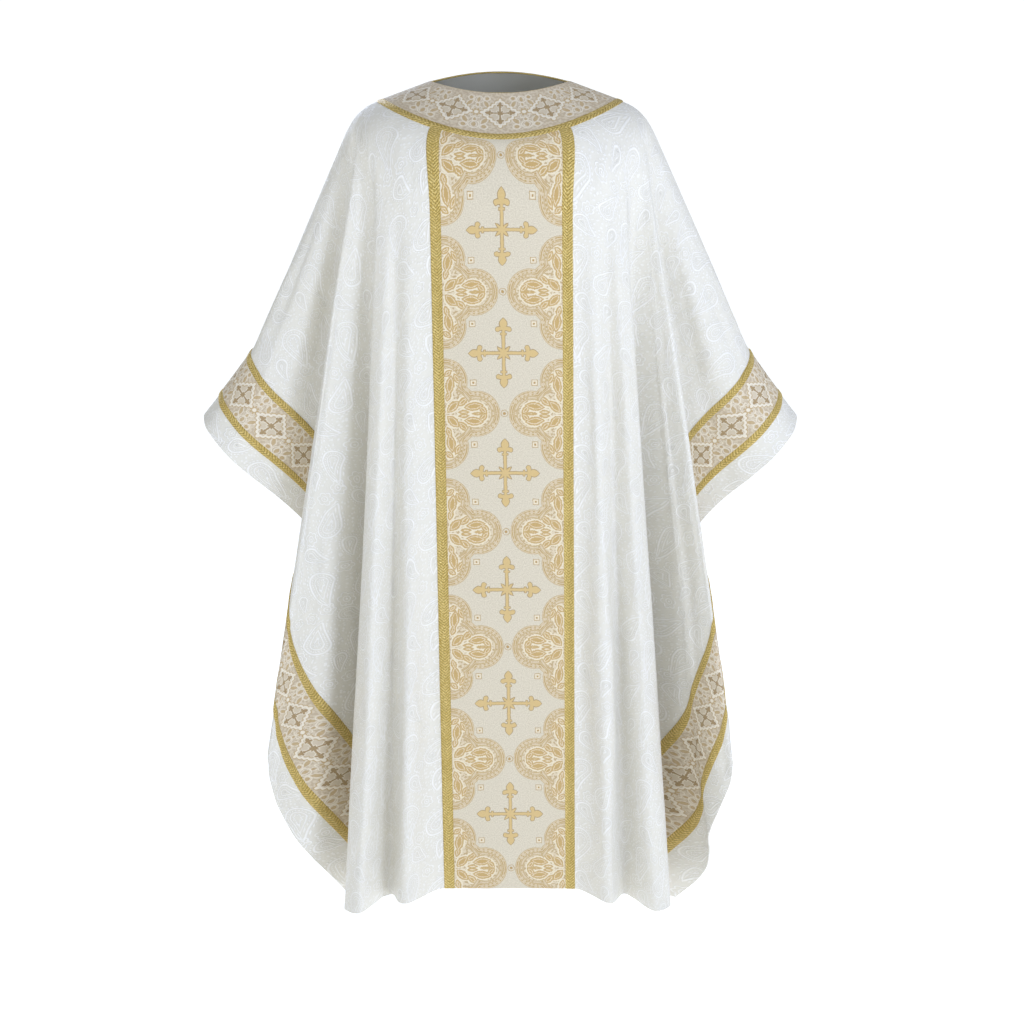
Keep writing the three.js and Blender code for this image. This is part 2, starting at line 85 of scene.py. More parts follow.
# One row for each named strand: neck is the angle round the neck edge from centre front; s, t is the
# flat place of the knee and phi the flat direction below it from straight down, in degrees; x, y, z
# is the knee as worn; out and back are the sideways and backward run for each unit down; kick is the
# flare of the cuff.
COLUMNS = ("name", "neck", "s", "t", "phi", "x", "y", "z", "out", "back", "kick")
FRONT_STRANDS = (
    ("centre", 0.0, 0, 270, 0.0, 0, -140, -205, 0.000, -0.005, 0.00),
    ("braid_edge", 30.8, 95, 264, 0.0, 95, -138, -201, -0.001, -0.004, 0.00),
    ("column_edge", 36.9, 112, 262, 0.0, 112, -137, -200, -0.001, -0.004, 0.00),
    ("crest_1", 45.0, 143, 240, 2.1, 142, -132, -188, 0.024, -0.046, 0.00),
    ("dip_1", 51.0, 163, 215, 5.2, 162, -125, -173, 0.034, 0.002, 0.00),
    ("crest_2", 57.0, 180, 195, 8.4, 177, -117, -159, 0.058, -0.062, 0.00),
    ("turn_2", 62.0, 193, 180, 10.2, 188, -111, -149, 0.068, -0.040, 0.00),
    ("valley", 67.0, 210, 158, 17.0, 203, -99, -135, -0.018, 0.058, 0.00),
    ("valley_2", 69.0, 214, 153, 20.4, 207, -96, -131, -0.010, 0.090, 0.00),
    ("tuck", 71.0, 218, 148, 23.1, 211, -92, -127, 0.024, 0.092, 0.00),
    ("corner", 74.0, 226, 140, 24.9, 218, -84, -120, 0.054, 0.038, 0.00),
    ("flank", 76.0, 232, 133, 27.6, 223, -78, -114, 0.124, -0.034, 0.00),
    ("ridge", 78.0, 238, 126, 31.0, 228, -72, -108, 0.163, -0.084, 0.00),
    ("ridge_2", 79.0, 240, 123, 34.0, 230, -68, -106, 0.165, -0.058, 0.00),
    ("inner", 82.0, 246, 114, 46.0, 236, -54, -100, 0.075, 0.072, 0.00),
    ("sleeve", 84.0, 254, 102, 57.0, 242, -40, -95, 0.230, 0.020, 0.00),
    ("arm_front", 86.0, 264, 90, 64.0, 248, -26, -92, 0.385, -0.050, 0.12),
    ("arm_top", 88.0, 272, 76, 67.5, 253, -12, -91, 0.440, -0.042, 0.20),
    ("seam", 90.0, 279, 60.5, 70.0, 256, 3, -92, 0.460, 0.000, 0.24),
)
BACK_STRANDS = (
    ("arm_top_b", 92.0, 272, 76, 67.5, 253, 18, -91, 0.440, 0.042, 0.20),
    ("arm_back", 94.0, 264, 90, 64.0, 248, 32, -92, 0.385, 0.060, 0.12),
    ("sleeve_b", 97.0, 254, 102, 56.0, 242, 47, -95, 0.230, 0.006, 0.00),
    ("inner_b", 100.0, 246, 114, 45.0, 236, 62, -100, 0.075, -0.042, 0.00),
    ("ridge_2b", 104.0, 239, 123, 33.0, 229, 76, -106, 0.182, 0.082, 0.00),
    ("ridge_b", 105.5, 236, 127, 30.0, 226, 81, -108, 0.176, 0.106, 0.00),
    ("corner_b", 109.0, 226, 140, 23.6, 216, 92, -120, 0.078, 0.024, 0.00),
    ("tuck_b", 112.5, 217, 149, 19.0, 208, 99, -127, 0.028, -0.034, 0.00),
    ("valley_b", 115.0, 209, 157, 15.0, 202, 104, -131, 0.002, -0.012, 0.00),
    ("turn_b", 119.0, 196, 165, 11.0, 190, 112, -138, 0.070, 0.045, 0.00),
    ("crest_b", 125.0, 178, 180, 8.2, 172, 119, -146, 0.045, 0.075, 0.00),
    ("dip_b", 133.0, 152, 190, 4.5, 148, 124, -150, 0.028, 0.010, 0.00),
    ("crest_c", 139.0, 128, 196, 1.5, 124, 127, -152, 0.010, 0.050, 0.00),
    ("column_b", 143.1, 112, 200, 0.0, 110, 128, -153, 0.002, 0.012, 0.00),
    ("braid_b", 149.2, 95, 201, 0.0, 93.5, 128, -153, 0.002, 0.012, 0.00),
    ("centre_b", 180.0, 0, 205, 0.0, 0, 130, -155, 0.000, 0.012, 0.00),
)
# What is added to some strands on the wearer's left.
LEFT_SIDE = {
    "crest_2": {"out": 0.006, "back": 0.008},
    "turn_2": {"out": 0.008, "back": 0.010},
    "valley": {"out": 0.010, "back": 0.006},
    "corner": {"out": 0.018, "back": -0.010, "kick": 0.05},
    "flank": {"out": -0.010},
    "ridge": {"out": -0.008},
    "ridge_2": {"out": -0.008},
    "inner": {"out": 0.014, "back": 0.004},
    "crest_b": {"out": 0.010, "back": -0.012},
    "ridge_b": {"out": -0.010, "back": 0.006},
    "ridge_2b": {"out": -0.010, "back": 0.006},
}


@dataclass(frozen=True)
class Pattern:
    """Sizes of the flat cut and of the worn neck and yoke, in millimetres and degrees."""

    neck_half_width: float = 113.0
    neck_drop: dict = field(default_factory=lambda: {Panel.FRONT: 70.0, Panel.BACK: 28.0})
    length: dict = field(default_factory=lambda: {Panel.FRONT: 1398.0, Panel.BACK: 1385.0})
    half_width: float = 758.0
    corner_rise: float = 84.0
    rise_power: float = 2.5
    seam_angle: float = 70.0
    seam_start: tuple = (279.0, 60.5)
    yoke_width: float = 92.0
    braid_width: float = 12.0
    orphrey_half: float = 95.0
    orphrey_braid: float = 17.0
    band_from_edge: float = 38.0
    band_width: float = 88.0
    ring_centre: float = 3.0
    ring_depth: dict = field(default_factory=lambda: {Panel.FRONT: 66.0, Panel.BACK: 74.0})
    ring_lift: dict = field(default_factory=lambda: {Panel.FRONT: -20.0, Panel.BACK: 18.0})
    yoke_slope: float = 20.0
    yoke_slope_more: dict = field(default_factory=lambda: {Panel.FRONT: 32.0, Panel.BACK: 14.0})
    hem_passes: int = 12  # times that the hem's formula is applied to its own result
    area_strips: int = 2000

    def hem(self, s: Array, panel: Panel) -> Array:
        """Depth t of the hem: the length less a rise that grows as a power of s.

        Args:
            s: flat distances from the centre line.
            panel: which panel is cut.

        Returns:
            The depths, one for each s.
        """
        share = np.clip(np.abs(s) / self.half_width, 0, 2)
        return self.length[panel] - self.corner_rise * share**self.rise_power

    def seam(self, s: Array) -> Array:
        """Depth t of the straight shoulder seam at distances s from the centre line."""
        return self.seam_start[1] + (s - self.seam_start[0]) / math.tan(math.radians(self.seam_angle))

    def edge_run(self, s: Array, phi: Array, inset: float) -> Array:
        """Distance along a strand from its knee to an upright line inside the side edge.

        Args:
            s: flat distances of the knees from the centre line.
            phi: flat directions in radians.
            inset: distance of the upright line from the side edge.

        Returns:
            The distances.
        """
        return (self.half_width - inset - s) / np.maximum(np.sin(phi), 1e-6)

    def outline_run(self, s: Array, t: Array, phi: Array, panel: Panel) -> Array:
        """Distance along a strand from its knee to hem or side edge, whichever comes first.

        The meeting with the curved hem is found by putting the last guess into the hem's formula.

        Args:
            s: flat distances of the knees from the centre line.
            t: flat depths of the knees.
            phi: flat directions in radians.
            panel: which panel is cut.

        Returns:
            The distances.
        """
        longest = 2 * self.length[panel]
        run = np.full_like(s, self.length[panel])
        for _ in range(self.hem_passes):
            run = np.minimum((self.hem(s + run * np.sin(phi), panel) - t) / np.cos(phi), longest)
        return np.minimum(run, self.edge_run(s, phi, 0.0))

    def area(self, panel: Panel) -> float:
        """Flat area of a panel in square metres, summed in narrow upright strips."""
        s = np.linspace(0, self.half_width, self.area_strips)
        inside = np.sqrt(np.clip(1 - (s / self.neck_half_width) ** 2, 0, 1))
        top = np.where(s < self.neck_half_width, self.neck_drop[panel] * inside, self.seam(s))
        return 2 * float(np.mean(self.hem(s, panel) - top)) * self.half_width * METRES**2


@dataclass(frozen=True)
class Fall:
    """How the cloth bends, flares and sways on its way down, in millimetres."""

    arm: float = 0.4  # arms of the arc from yoke to knee, as a share of the gap
    arm_at_centre: float = 0.25  # share of the yoke's arm that is left on the centre line
    cuff_lead: float = 15.0  # how far above the side band the flare starts
    cuff_soft: float = 30.0  # length over which the flare sets in
    cuff_lift: float = 0.35  # lift for each millimetre of flare
    sway: float = 0.015  # sideways run of the middle for each millimetre down
    sway_from: float = -40.0  # level at which the sway starts
    sway_width: float = 260.0  # distance from the middle at which half the sway is left


FALL = Fall()


@dataclass
class Strands:
    """Strands of hanging cloth, one for each entry of the arrays."""

    pattern: Pattern
    side: Array
    neck: Array
    knee_flat: Array
    phi: Array
    neck_point: Array
    yoke_direction: Array
    yoke_flat: Array
    knee: Array
    direction: Array
    kick: Array
    to_knee: Array
    end: Array
    cuff_start: Array

    def worn(self, w: Array) -> Array:
        """Points of the cloth's middle as worn.

        The yoke is straight. A cubic arc bends from the yoke to the knee, the rest hangs straight,
        and the cuff flares by a curve that starts level.

        Args:
            w: flat distances from the neck edge, shaped as the strands are.

        Returns:
            Points in millimetres, with a last axis of three.
        """
        yoke_width = self.pattern.yoke_width
        yoke_point = self.neck_point + self.yoke_direction * yoke_width
        u = np.clip((w - yoke_width) / (self.to_knee - yoke_width), 0, 1)[..., None]
        reach = FALL.arm * np.linalg.norm(self.knee - yoke_point, axis=-1, keepdims=True)
        least = FALL.arm_at_centre
        over_shoulder = (least + (1 - least) * np.sin(self.neck) ** 2)[..., None]
        arc = (
            yoke_point * ((1 - u) ** 3 + 3 * u * (1 - u) ** 2)
            + self.yoke_direction * (3 * u * (1 - u) ** 2 * reach * over_shoulder)
            + self.knee * (3 * u * u * (1 - u) + u**3)
            - self.direction * (3 * u * u * (1 - u) * reach)
        )
        on_yoke = self.neck_point + self.yoke_direction * w[..., None]
        point = np.where((w <= yoke_width)[..., None], on_yoke, arc)
        point = point + self.direction * np.maximum(w - self.to_knee, 0)[..., None]
        flare = np.maximum(w - self.cuff_start, 0)
        kick = self.kick * flare**2 / (flare + FALL.cuff_soft)
        x = (point[..., 0] + kick) * self.side
        z = point[..., 2] + FALL.cuff_lift * kick
        x = x + FALL.sway * np.maximum(FALL.sway_from - z, 0) / (1 + (x / FALL.sway_width) ** 2)
        return np.stack([x, point[..., 1], z], axis=-1)

    def flat(self, w: Array) -> Array:
        """Flat places s, t of points on the strands, s being negative on the wearer's right.

        Args:
            w: flat distances from the neck edge, shaped as the strands are.

        Returns:
            Places in millimetres, with a last axis of two.
        """
        yoke_width = self.pattern.yoke_width
        along = np.stack([np.sin(self.phi), np.cos(self.phi)], axis=-1)
        share = np.clip((w - yoke_width) / (self.to_knee - yoke_width), 0, 1)[..., None]
        place = self.yoke_flat * (1 - share) + self.knee_flat * share
        place = place + along * np.maximum(w - self.to_knee, 0)[..., None]
        outward = self.yoke_flat / np.linalg.norm(self.yoke_flat, axis=-1, keepdims=True)
        place = place - outward * np.maximum(yoke_width - w, 0)[..., None]
        return place * np.stack([self.side, np.ones_like(self.side)], axis=-1)


class Drape:
    """The rule by which the flat pattern hangs: smooth curves through the tables of strands."""

    LEVEL_ENDS = ("neck", "s", "phi", "x", "out")  # odd across the centre line, the rest even
    MONOTONE = ("neck", "s", "t", "phi")
    MOST_SLOPE = 2.5  # steepest slope at a strand, in slopes of the flatter chord beside it
    HALVINGS = 36

    def __init__(self, pattern: Pattern) -> None:
        """Reads the tables and works out where each strand meets hem or side edge.

        Args:
            pattern: the sizes of the cut.
        """
        self.pattern = pattern
        rows = [dict(zip(COLUMNS, row)) for row in FRONT_STRANDS + BACK_STRANDS]
        self.names = [row["name"] for row in rows]
        keys = [key for key in COLUMNS if key != "name"]
        table = {key: np.array([row[key] for row in rows], float) for key in keys}
        s, t, phi = table["s"], table["t"], np.radians(table["phi"])
        on_back = np.arange(len(rows)) >= len(FRONT_STRANDS)
        runs = [pattern.outline_run(s, t, phi, panel) for panel in Panel]
        run = np.where(on_back, runs[1], runs[0])
        ends = np.stack([s + run * np.sin(phi), t + run * np.cos(phi)], axis=-1)
        gaps = np.linalg.norm(np.diff(ends, axis=0), axis=1)
        self.places = np.concatenate([[0.0], np.cumsum(gaps)])
        self.seam_place = float(self.places[len(FRONT_STRANDS) - 1])
        self.curves = {}
        for side in Side:
            values = {key: column.copy() for key, column in table.items()}
            if side is Side.LEFT:
                for name, shifts in LEFT_SIDE.items():
                    for key, shift in shifts.items():
                        values[key][self.names.index(name)] += shift
            self.curves[side] = {key: (v, self.slopes(key, v)) for key, v in values.items()}

    def slopes(self, key: str, values: Array) -> Array:
        """Slopes of the curve through one column of the tables.

        Weighted means of the neighbouring chords, held to a multiple of the flatter one; the
        pattern's own columns take the harmonic mean, so that straight trims stay straight.

        Args:
            key: the column's name.
            values: the column.

        Returns:
            One slope for each value.
        """
        gap = np.diff(self.places)
        chord = np.diff(values) / gap
        before, after = chord[:-1], chord[1:]
        product = before * after
        if key in self.MONOTONE:
            total = np.where(before + after == 0, 1, before + after)
            middle = np.where(product > 0, 2 * product / total, 0)
        else:
            mean = (before * gap[1:] + after * gap[:-1]) / (gap[1:] + gap[:-1])
            limit = self.MOST_SLOPE * np.minimum(np.abs(before), np.abs(after))
            middle = np.where(product > 0, np.clip(mean, -limit, limit), mean)
        ends = (chord[0], chord[-1]) if key in self.LEVEL_ENDS else (0.0, 0.0)
        return np.concatenate([[ends[0]], middle, [ends[1]]])

    def value(self, key: str, place: Array, side: Array) -> Array:
        """Value of one column at places along the edge, on the cubic curve through the tables.

        Args:
            key: the column's name.
            place: running lengths along hem and side edge.
            side: signs of x, shaped as place is.

        Returns:
            The values.
        """
        index = np.clip(np.searchsorted(self.places, place, side="right") - 1, 0, len(self.places) - 2)
        step = self.places[index + 1] - self.places[index]
        u = (place - self.places[index]) / step
        found = {}
        for hand in Side:
            values, slopes = self.curves[hand][key]
            found[hand] = (
                (1 + 2 * u) * (1 - u) ** 2 * values[index]
                + u * (1 - u) ** 2 * step * slopes[index]
                + u * u * (3 - 2 * u) * values[index + 1]
                + u * u * (u - 1) * step * slopes[index + 1]
            )
        return np.where(side > 0, found[Side.LEFT], found[Side.RIGHT])

    def strands(self, place: Array, side: Array, panel: Panel) -> Strands:
        """Strands that end at given places.

        Args:
            place: running lengths along hem and side edge.
            side: signs of x, shaped as place is.
            panel: the panel that they are on.

        Returns:
            The strands, shaped as place is.
        """
        cut = self.pattern
        get = {key: self.value(key, place, side) for key in COLUMNS if key != "name"}
        angle = np.radians(get["neck"])
        sine, cosine = np.sin(angle), np.cos(angle)
        neck_point = np.stack(
            [
                cut.neck_half_width * sine,
                cut.ring_centre - cut.ring_depth[panel] * cosine,
                cut.ring_lift[panel] * cosine**2,
            ],
            axis=-1,
        )
        slope = np.radians(cut.yoke_slope + cut.yoke_slope_more[panel] * cosine**2)
        yoke_direction = np.stack(
            [sine * np.cos(slope), -cosine * np.cos(slope), -np.sin(slope)], axis=-1
        )
        from_centre = angle if panel is Panel.FRONT else np.pi - angle
        turn = from_centre * cut.seam_angle / 90
        yoke_flat = np.stack(
            [
                cut.neck_half_width * np.sin(from_centre) + cut.yoke_width * np.sin(turn),
                cut.neck_drop[panel] * np.cos(from_centre) + cut.yoke_width * np.cos(turn),
            ],
            axis=-1,
        )
        knee_flat = np.stack([get["s"], get["t"]], axis=-1)
        direction = np.stack([get["out"], get["back"], -np.ones_like(place)], axis=-1)
        phi = np.radians(get["phi"])
        to_knee = cut.yoke_width + np.linalg.norm(yoke_flat - knee_flat, axis=-1)
        cuff_run = cut.edge_run(get["s"], phi, cut.band_from_edge + cut.band_width)
        return Strands(
            pattern=cut,
            side=side.astype(float),
            neck=angle,
            knee_flat=knee_flat,
            phi=phi,
            neck_point=neck_point,
            yoke_direction=yoke_direction,
            yoke_flat=yoke_flat,
            knee=np.stack([get["x"], get["y"], get["z"]], axis=-1),
            direction=direction / np.linalg.norm(direction, axis=-1, keepdims=True),
            kick=get["kick"],
            to_knee=to_knee,
            end=to_knee + cut.outline_run(get["s"], get["t"], phi, panel),
            cuff_start=to_knee + cuff_run - FALL.cuff_lead,
        )

    def half(self, panel: Panel) -> tuple[float, float]:
        """First and last place of a half panel, from the centre line to the shoulder seam."""
        return (0.0 if panel is Panel.FRONT else float(self.places[-1])), self.seam_place

    def place_through(self, s: Array, t: Array, panel: Panel) -> Array:
        """Places of the strands that pass through flat points below the knees, by halving.

        Args:
            s: distances from the centre line.
            t: depths.
            panel: the panel that the points are on.

        Returns:
            The places.
        """
        centre, seam = self.half(panel)
        low, high = np.full_like(s, centre), np.full_like(s, seam)
        right = -np.ones_like(s)
        for _ in range(self.HALVINGS):
            middle = (low + high) / 2
            phi = np.radians(self.value("phi", middle, right))
            beside = (s - self.value("s", middle, right)) * np.cos(phi)
            below = (t - self.value("t", middle, right)) * np.sin(phi)
            beyond = beside > below
            low, high = np.where(beyond, middle, low), np.where(beyond, high, middle)
        return (low + high) / 2


# ---- Soft creases -------------------------------------------------------------------------


@dataclass(frozen=True)
class Crease:
    """A soft trough or ridge between two points, each a place and a distance w.

    Its height has a bell-shaped profile across, fades in and out along its length and bows sideways
    by a sine.
    """

    FADE = 1.5  # power of the fade along the length

    start: tuple[float, float]
    end: tuple[float, float]
    width: float
    height: float
    bow: float = 0.0

    def relief(self, place: Array, w: Array) -> Array:
        """Height of the crease at points of the cloth.

        Args:
            place: places of the points.
            w: their distances from the neck edge.

        Returns:
            Heights in millimetres along the outward normal.
        """
        run = np.array(self.end) - np.array(self.start)
        length = float(np.hypot(*run))
        along = ((place - self.start[0]) * run[0] + (w - self.start[1]) * run[1]) / length**2
        inside = np.clip(along, 0, 1)
        across = ((place - self.start[0]) * run[1] - (w - self.start[1]) * run[0]) / length
        across = across - self.bow * np.sin(np.pi * inside)
        fade = (1 - (2 * inside - 1) ** 2) ** self.FADE
        return self.height * fade * np.exp(-((across / self.width) ** 2))


FRONT_RIGHT_CREASES = (
    Crease((150, 260), (185, 900), 26, -6.0, 10),
    Crease((128, 620), (150, 1330), 20, -4.8, -8),
    Crease((232, 330), (262, 820), 20, 3.6, 6),
    Crease((300, 760), (330, 1360), 26, 4.5, 8),
    Crease((235, 900), (240, 1380), 22, -4.5, -6),
    Crease((1120, 230), (1040, 620), 40, 4.5, 14),
    Crease((960, 300), (990, 900), 44, -5.1, 10),
    Crease((880, 700), (850, 1330), 38, 3.9, -8),
    Crease((1560, 215), (1590, 640), 34, -9.75, 12),
    Crease((1660, 240), (1690, 720), 26, 6.75, -8),
    Crease((1730, 230), (1745, 560), 24, -6.75, 6),
    Crease((1790, 300), (1800, 620), 16, 3.9, 0),
)
FRONT_LEFT_CREASES = (
    Crease((140, 300), (170, 760), 22, -5.1, -8),
    Crease((170, 640), (205, 1300), 30, 5.1, 12),
    Crease((118, 880), (160, 1350), 18, -4.5, 6),
    Crease((262, 300), (285, 700), 22, -3.9, 4),
    Crease((300, 640), (345, 1340), 24, 4.2, -8),
    Crease((1110, 260), (1070, 760), 44, 4.2, 10),
    Crease((930, 420), (960, 1080), 40, -4.5, -12),
    Crease((1540, 200), (1600, 600), 38, -8.25, -10),
    Crease((1650, 230), (1670, 700), 28, 7.5, 10),
    Crease((1715, 220), (1750, 620), 22, -7.2, -6),
    Crease((1785, 260), (1806, 600), 16, 3.6, 0),
)
BACK_RIGHT_CREASES = (
    Crease((3540, 300), (3500, 1000), 24, -4.8, 8),
    Crease((3430, 500), (3400, 1320), 28, 4.5, -8),
    Crease((3270, 320), (3250, 980), 26, -4.2, 6),
    Crease((3090, 420), (3060, 1340), 24, 4.2, 6),
    Crease((2760, 300), (2800, 1000), 46, -5.4, -10),
    Crease((2560, 260), (2600, 700), 40, 4.5, 8),
    Crease((2120, 220), (2080, 700), 40, -8.25, 10),
    Crease((1980, 230), (1960, 640), 26, 6.0, -8),
    Crease((1900, 240), (1895, 560), 18, -5.4, 4),
)
BACK_LEFT_CREASES = (
    Crease((3530, 420), (3490, 1180), 26, -5.1, -8),
    Crease((3400, 360), (3390, 1100), 24, 4.2, 6),
    Crease((3240, 480), (3230, 1340), 26, -4.5, 6),
    Crease((2780, 340), (2740, 1080), 44, -5.1, 10),
    Crease((2580, 300), (2540, 760), 38, 4.8, -8),
    Crease((2140, 230), (2100, 660), 36, -7.5, -8),
    Crease((2000, 220), (1970, 680), 28, 6.6, 8),
    Crease((1910, 240), (1900, 540), 18, -5.1, 0),
)
CREASES = {
    (Panel.FRONT, Side.RIGHT): FRONT_RIGHT_CREASES,
    (Panel.FRONT, Side.LEFT): FRONT_LEFT_CREASES,
    (Panel.BACK, Side.RIGHT): BACK_RIGHT_CREASES,
    (Panel.BACK, Side.LEFT): BACK_LEFT_CREASES,
}
# Slow waves of the hanging cloth: height, length along the edge, length down, and phase.
WAVES = (
    (0.60, 83.0, 910.0, 0.4),
    (0.26, 51.0, 640.0, 2.1),
    (0.14, 37.0, 450.0, 4.4),
    (1.4, 211.0, 1300.0, 1.3),
)


@dataclass
class Surface:
    """A grid of cloth points: columns run on round the body and rows run down."""

    points: Array
    normals: Array
    flat: Array

    def raised(self, height: Array | float) -> Array:
        """Points of the surface moved out along its normals by a height in millimetres."""
        return self.points + self.normals * np.asarray(height, float)[..., None]


def outward(points: Array) -> Array:
    """Unit normals of a grid: downward steps crossed with onward steps.

    Args:
        points: grid of points, columns first.

    Returns:
        Normals of the same shape.
    """
    down = np.gradient(points, axis=1)
    onward = np.gradient(points, axis=0)
    normal = np.cross(down, onward)
    return normal / np.maximum(np.linalg.norm(normal, axis=-1, keepdims=True), 1e-9)


@dataclass
class Cloth:
    """The whole cloth with its creases, on which every piece is laid. Sizes are in millimetres."""

    drape: Drape
    rise: float = 1.6  # creases are whole below 1 / rise of the fall
    wander: float = 0.3  # how far the waves wander along the edge, as a share of their length
    pucker: tuple[float, float, float, float] = (0.35, 14.0, 47.0, 61.0)  # height, reach, length, drift
    stiff: tuple[float, float] = (20.0, 0.25)  # width over which the orphrey calms relief, share left
    calm: tuple[float, float] = (110.0, 80.0)  # w at which relief starts, and the run of its start

    def relief(self, panel: Panel, place: Array, side: Array, w: Array, fall: Array) -> Array:
        """Height of creases, slow waves and puckers beside the orphrey's braids.

        Args:
            panel: the panel.
            place: places of the points.
            side: signs of x.
            w: distances from the neck edge.
            fall: share of the way from knee to hem, 0 above the knee.

        Returns:
            Heights in millimetres.
        """
        height = np.zeros_like(place)
        for hand in Side:
            on_side = side == hand.value
            for crease in CREASES[(panel, hand)]:
                height += np.where(on_side, crease.relief(place, w), 0)
        height *= np.clip(self.rise * fall, 0, 1)
        for size, length, drop, phase in WAVES:
            along = place / length + self.wander * np.sin(TURN * w / drop + phase)
            height += size * np.sin(TURN * along + phase + side) * fall
        cut = self.drape.pattern
        from_centre = place if panel is Panel.FRONT else self.drape.places[-1] - place
        beside = from_centre - cut.orphrey_half - cut.orphrey_braid
        size, reach, length, drift = self.pucker
        pucker = np.sin(TURN * w / length + 2 * np.sin(w / drift + side))
        pucker *= size * np.exp(-((beside / reach) ** 2))
        off_column = np.clip(beside / self.stiff[0] + 1, self.stiff[1], 1)
        return (height * off_column + pucker) * np.clip((w - self.calm[0]) / self.calm[1], 0, 1)

    def surface(self, panel: Panel, place: Array, side: Array, w: Array) -> Surface:
        """Creased surface at a grid of places and distances, which may be of one column or row.

        Args:
            panel: the panel.
            place: places, columns first.
            side: signs of x.
            w: distances from the neck edge.

        Returns:
            The surface.
        """
        place, side, w = (array.copy() for array in np.broadcast_arrays(place, side, w))
        strands = self.drape.strands(place, side, panel)
        base = strands.worn(w)
        fall = np.clip((w - strands.to_knee) / (strands.end - strands.to_knee), 0, 1)
        height = self.relief(panel, place, side, w, fall)
        points = base + outward(base) * height[..., None]
        return Surface(points, outward(points), strands.flat(w))


# ---- Meshes -------------------------------------------------------------------------------


def grid_faces(columns: int, rows: int, first: int, flip: bool) -> Array:
    """Quads of a grid whose vertices are numbered down each column.

    Args:
        columns: number of columns.
        rows: number of rows.
        first: number of the grid's first vertex.
        flip: True to turn the faces over.

    Returns:
        Quads as rows of four vertex numbers.
    """
    number = first + np.arange(columns * rows).reshape(columns, rows)
    quads = np.stack([number[:-1, :-1], number[:-1, 1:], number[1:, 1:], number[1:, :-1]], axis=-1)
    quads = quads.reshape(-1, 4)
    return quads[:, ::-1] if flip else quads


def rim_faces(columns: int, rows: int, offset: int) -> Array:
    """Quads that join the borders of an outer grid to those of an inner one.

    Args:
        columns: number of columns.
        rows: number of rows.
        offset: number of the inner grid's first vertex.

    Returns:
        Quads as rows of four vertex numbers.
    """
    number = np.arange(columns * rows).reshape(columns, rows)
    border = np.concatenate([number[0, :], number[1:, -1], number[-1, -2::-1], number[-2:0:-1, 0]])
    after = np.roll(border, -1)
    return np.stack([after, border, border + offset, after + offset], axis=-1)


def shell(name: str, outer: Array, inner: Array, uv: Array, finishes: list) -> bpy.types.Object:
    """Closed thin shell between two grids, in the frame.

    Args:
        name: the piece's name.
        outer: outer points in millimetres, columns first.
        inner: inner points in millimetres.
        uv: the cloth's own coordinates in metres, for both grids.
        finishes: one material, or one for the face and one for reverse and rims.

    Returns:
        The object, linked and riding on the body.
    """
    columns, rows = outer.shape[:2]
    count = columns * rows
    points = np.concatenate([outer.reshape(-1, 3), inner.reshape(-1, 3)]) * METRES
    face = grid_faces(columns, rows, 0, False)
    reverse = np.concatenate([grid_faces(columns, rows, count, True), rim_faces(columns, rows, count)])
    mesh = cloth_mesh(name, points, np.concatenate([face, reverse]), np.tile(uv.reshape(-1, 2), (2, 1)))
    for finish in finishes:
        mesh.materials.append(finish)
    if len(finishes) > 1:
        slots = np.concatenate([np.zeros(len(face), np.int32), np.ones(len(reverse), np.int32)])
        mesh.polygons.foreach_set("material_index", slots)
    mesh.set_sharp_from_angle(angle=math.radians(SHARP_ANGLE))
    return place_piece(name, mesh)


def cloth_mesh(name: str, points: Array, quads: Array, uv: Array) -> bpy.types.Mesh:
    """Smooth mesh with the cloth's own coordinates.

    Args:
        name: the piece's name.
        points: vertices in metres.
        quads: rows of four vertex numbers.
        uv: own coordinates of the vertices in metres.

    Returns:
        The mesh.
    """
    mesh = bpy.data.meshes.new(name)
    mesh.from_pydata(points, [], quads)
    layer = mesh.uv_layers.new(name=UV_NAME)
    layer.data.foreach_set("uv", uv[quads.reshape(-1)].astype(np.float32).reshape(-1))
    mesh.polygons.foreach_set("use_smooth", np.ones(len(quads), bool))
    return mesh


def tube(name: str, path: Array, radius: float, finish: bpy.types.Material) -> bpy.types.Object:
    """Round cord carried along a closed path: a circle in the plane across each step.

    Args:
        name: the piece's name.
        path: points of the closed path in millimetres.
        radius: the cord's radius in millimetres.
        finish: its material.

    Returns:
        The object, linked and riding on the body.
    """
    along = np.roll(path, -1, axis=0) - np.roll(path, 1, axis=0)
    length = np.concatenate([[0], np.cumsum(np.linalg.norm(np.diff(path, axis=0), axis=1))])
    along /= np.linalg.norm(along, axis=1, keepdims=True)
    beside = np.cross(along, [0.0, 0.0, 1.0])
    beside /= np.linalg.norm(beside, axis=1, keepdims=True)
    over = np.cross(beside, along)
    angle = np.linspace(0, TURN, CORD_SIDES, endpoint=False)
    ring = beside[:, None] * np.cos(angle)[:, None] + over[:, None] * np.sin(angle)[:, None]
    points = (path[:, None] + ring * radius).reshape(-1, 3) * METRES
    number = np.arange(len(points)).reshape(len(path), CORD_SIDES)
    on, up = np.roll(number, -1, axis=0), np.roll(number, -1, axis=1)
    quads = np.stack([number, on, np.roll(on, -1, axis=1), up], axis=-1).reshape(-1, 4)[:, ::-1]
    uv = np.stack(np.broadcast_arrays(length[:, None], angle[None] * radius), axis=-1).reshape(-1, 2)
    mesh = cloth_mesh(name, points, quads, uv * METRES)
    mesh.materials.append(finish)
    return place_piece(name, mesh)


def linked(name: str, data: bpy.types.ID) -> bpy.types.Object:
    """New object for a mesh, light or camera, in the scene."""
    made = bpy.data.objects.new(name, data)
    bpy.context.scene.collection.objects.link(made)
    return made


def place_piece(name: str, mesh: bpy.types.Mesh) -> bpy.types.Object:
    """Object for a finished mesh, linked to the scene and riding on the one body."""
    mesh.update()
    piece = linked(name, mesh)
    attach(piece, "root")
    LOG.info("%s: %d faces", name, len(mesh.polygons))
    return piece


